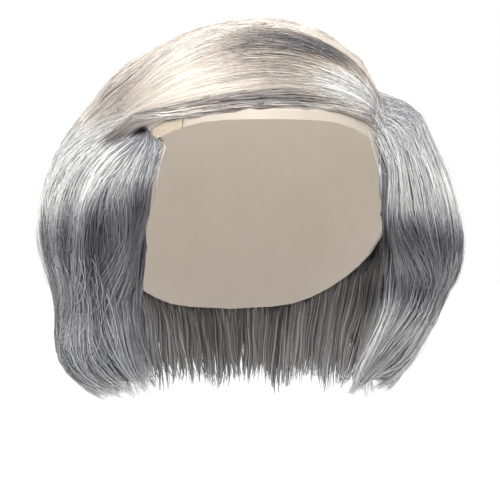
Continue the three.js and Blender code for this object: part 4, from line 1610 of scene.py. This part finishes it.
SURROUND_LIGHT = 0.17
FLOOR_SIZE = 80.0
FLOOR_LEVEL = -0.6
bpy.ops.object.select_all(action="DESELECT")
bpy.ops.mesh.primitive_plane_add(size=FLOOR_SIZE, location=(0.0, 0.0, FLOOR_LEVEL))
floor = bpy.context.object
floor.name = "studio_floor"
floor_material, floor_tree, floor_shader = new_material("studio_floor_paint")
floor_shader.inputs["Base Color"].default_value = (0.9, 0.9, 0.9, 1.0)
floor_shader.inputs["Roughness"].default_value = 0.9
# The floor glows, dimmer within about a metre of the wig and full further off, and so lights the wig from
# below
floor_shader.inputs["Emission Color"].default_value = (1.0, 1.0, 1.0, 1.0)
floor_place = new_node(floor_tree, "ShaderNodeTexCoord")
floor_reach = new_node(floor_tree, "ShaderNodeVectorMath", {"operation": "LENGTH"})
floor_tree.links.new(floor_place.outputs["Object"], floor_reach.inputs[0])
floor_glow = new_node(
    floor_tree,
    "ShaderNodeMapRange",
    None,
    {"From Min": 0.8, "From Max": 3.0, "To Min": 0.7, "To Max": 1.0},
)
floor_tree.links.new(floor_reach.outputs["Value"], floor_glow.inputs["Value"])
floor_tree.links.new(floor_glow.outputs["Result"], floor_shader.inputs["Emission Strength"])
floor.data.materials.append(floor_material)

world = bpy.data.worlds.new("white_surround")
bpy.context.scene.world = world
world.use_nodes = True
surround = world.node_tree
backdrop = surround.nodes["Background"]
backdrop.inputs["Color"].default_value = (1.0, 1.0, 1.0, 1.0)
seen = surround.nodes.new("ShaderNodeLightPath")
strength = surround.nodes.new("ShaderNodeMapRange")
strength.inputs["To Min"].default_value = SURROUND_LIGHT
strength.inputs["To Max"].default_value = 1.0
surround.links.new(seen.outputs["Is Camera Ray"], strength.inputs["Value"])
surround.links.new(strength.outputs["Result"], backdrop.inputs["Strength"])


def soft_light(name, place, target, size, watts):
    bpy.ops.object.light_add(type="AREA", location=place)
    light = bpy.context.object
    light.name = name
    light.data.shape = "DISK"
    light.data.size = size
    light.data.energy = watts
    light.rotation_euler = (Vector(target) - Vector(place)).to_track_quat("-Z", "Y").to_euler()


LIGHTS = table(
    ("name", "place", "target", "size", "watts"),
    ("key_light", (-0.2, -0.75, 1.2), (0.0, 0.0, -0.08), 0.6, 40.0),
    ("left_fill", (-1.3, -0.4, 0.6), (0.0, 0.0, -0.1), 0.8, 6.8),
    ("right_fill", (1.3, -0.4, 0.6), (0.0, 0.0, -0.1), 0.8, 6.8),
    ("back_light", (0.2, 1.1, 1.0), (0.0, 0.0, -0.08), 0.8, 10.0),
)
for row in LIGHTS:
    soft_light(**row)

CAMERA_AZIMUTH = -7.0
CAMERA_DISTANCE = 1.6
CAMERA_LEVEL = -0.1173
SENSOR = 36.0
PICTURE_PIXELS = 500.0
PIXELS_PER_MM = 1.9
FIELD_WIDTH = PICTURE_PIXELS / PIXELS_PER_MM * MM
turn = math.radians(CAMERA_AZIMUTH)
bpy.ops.object.camera_add(
    location=(math.sin(turn) * CAMERA_DISTANCE, -math.cos(turn) * CAMERA_DISTANCE, CAMERA_LEVEL),
    rotation=(math.pi / 2, 0.0, turn),
)
camera = bpy.context.object
camera.data.sensor_width = SENSOR
camera.data.lens = SENSOR * CAMERA_DISTANCE / FIELD_WIDTH
bpy.context.scene.camera = camera
bpy.context.scene.view_settings.view_transform = "Standard"
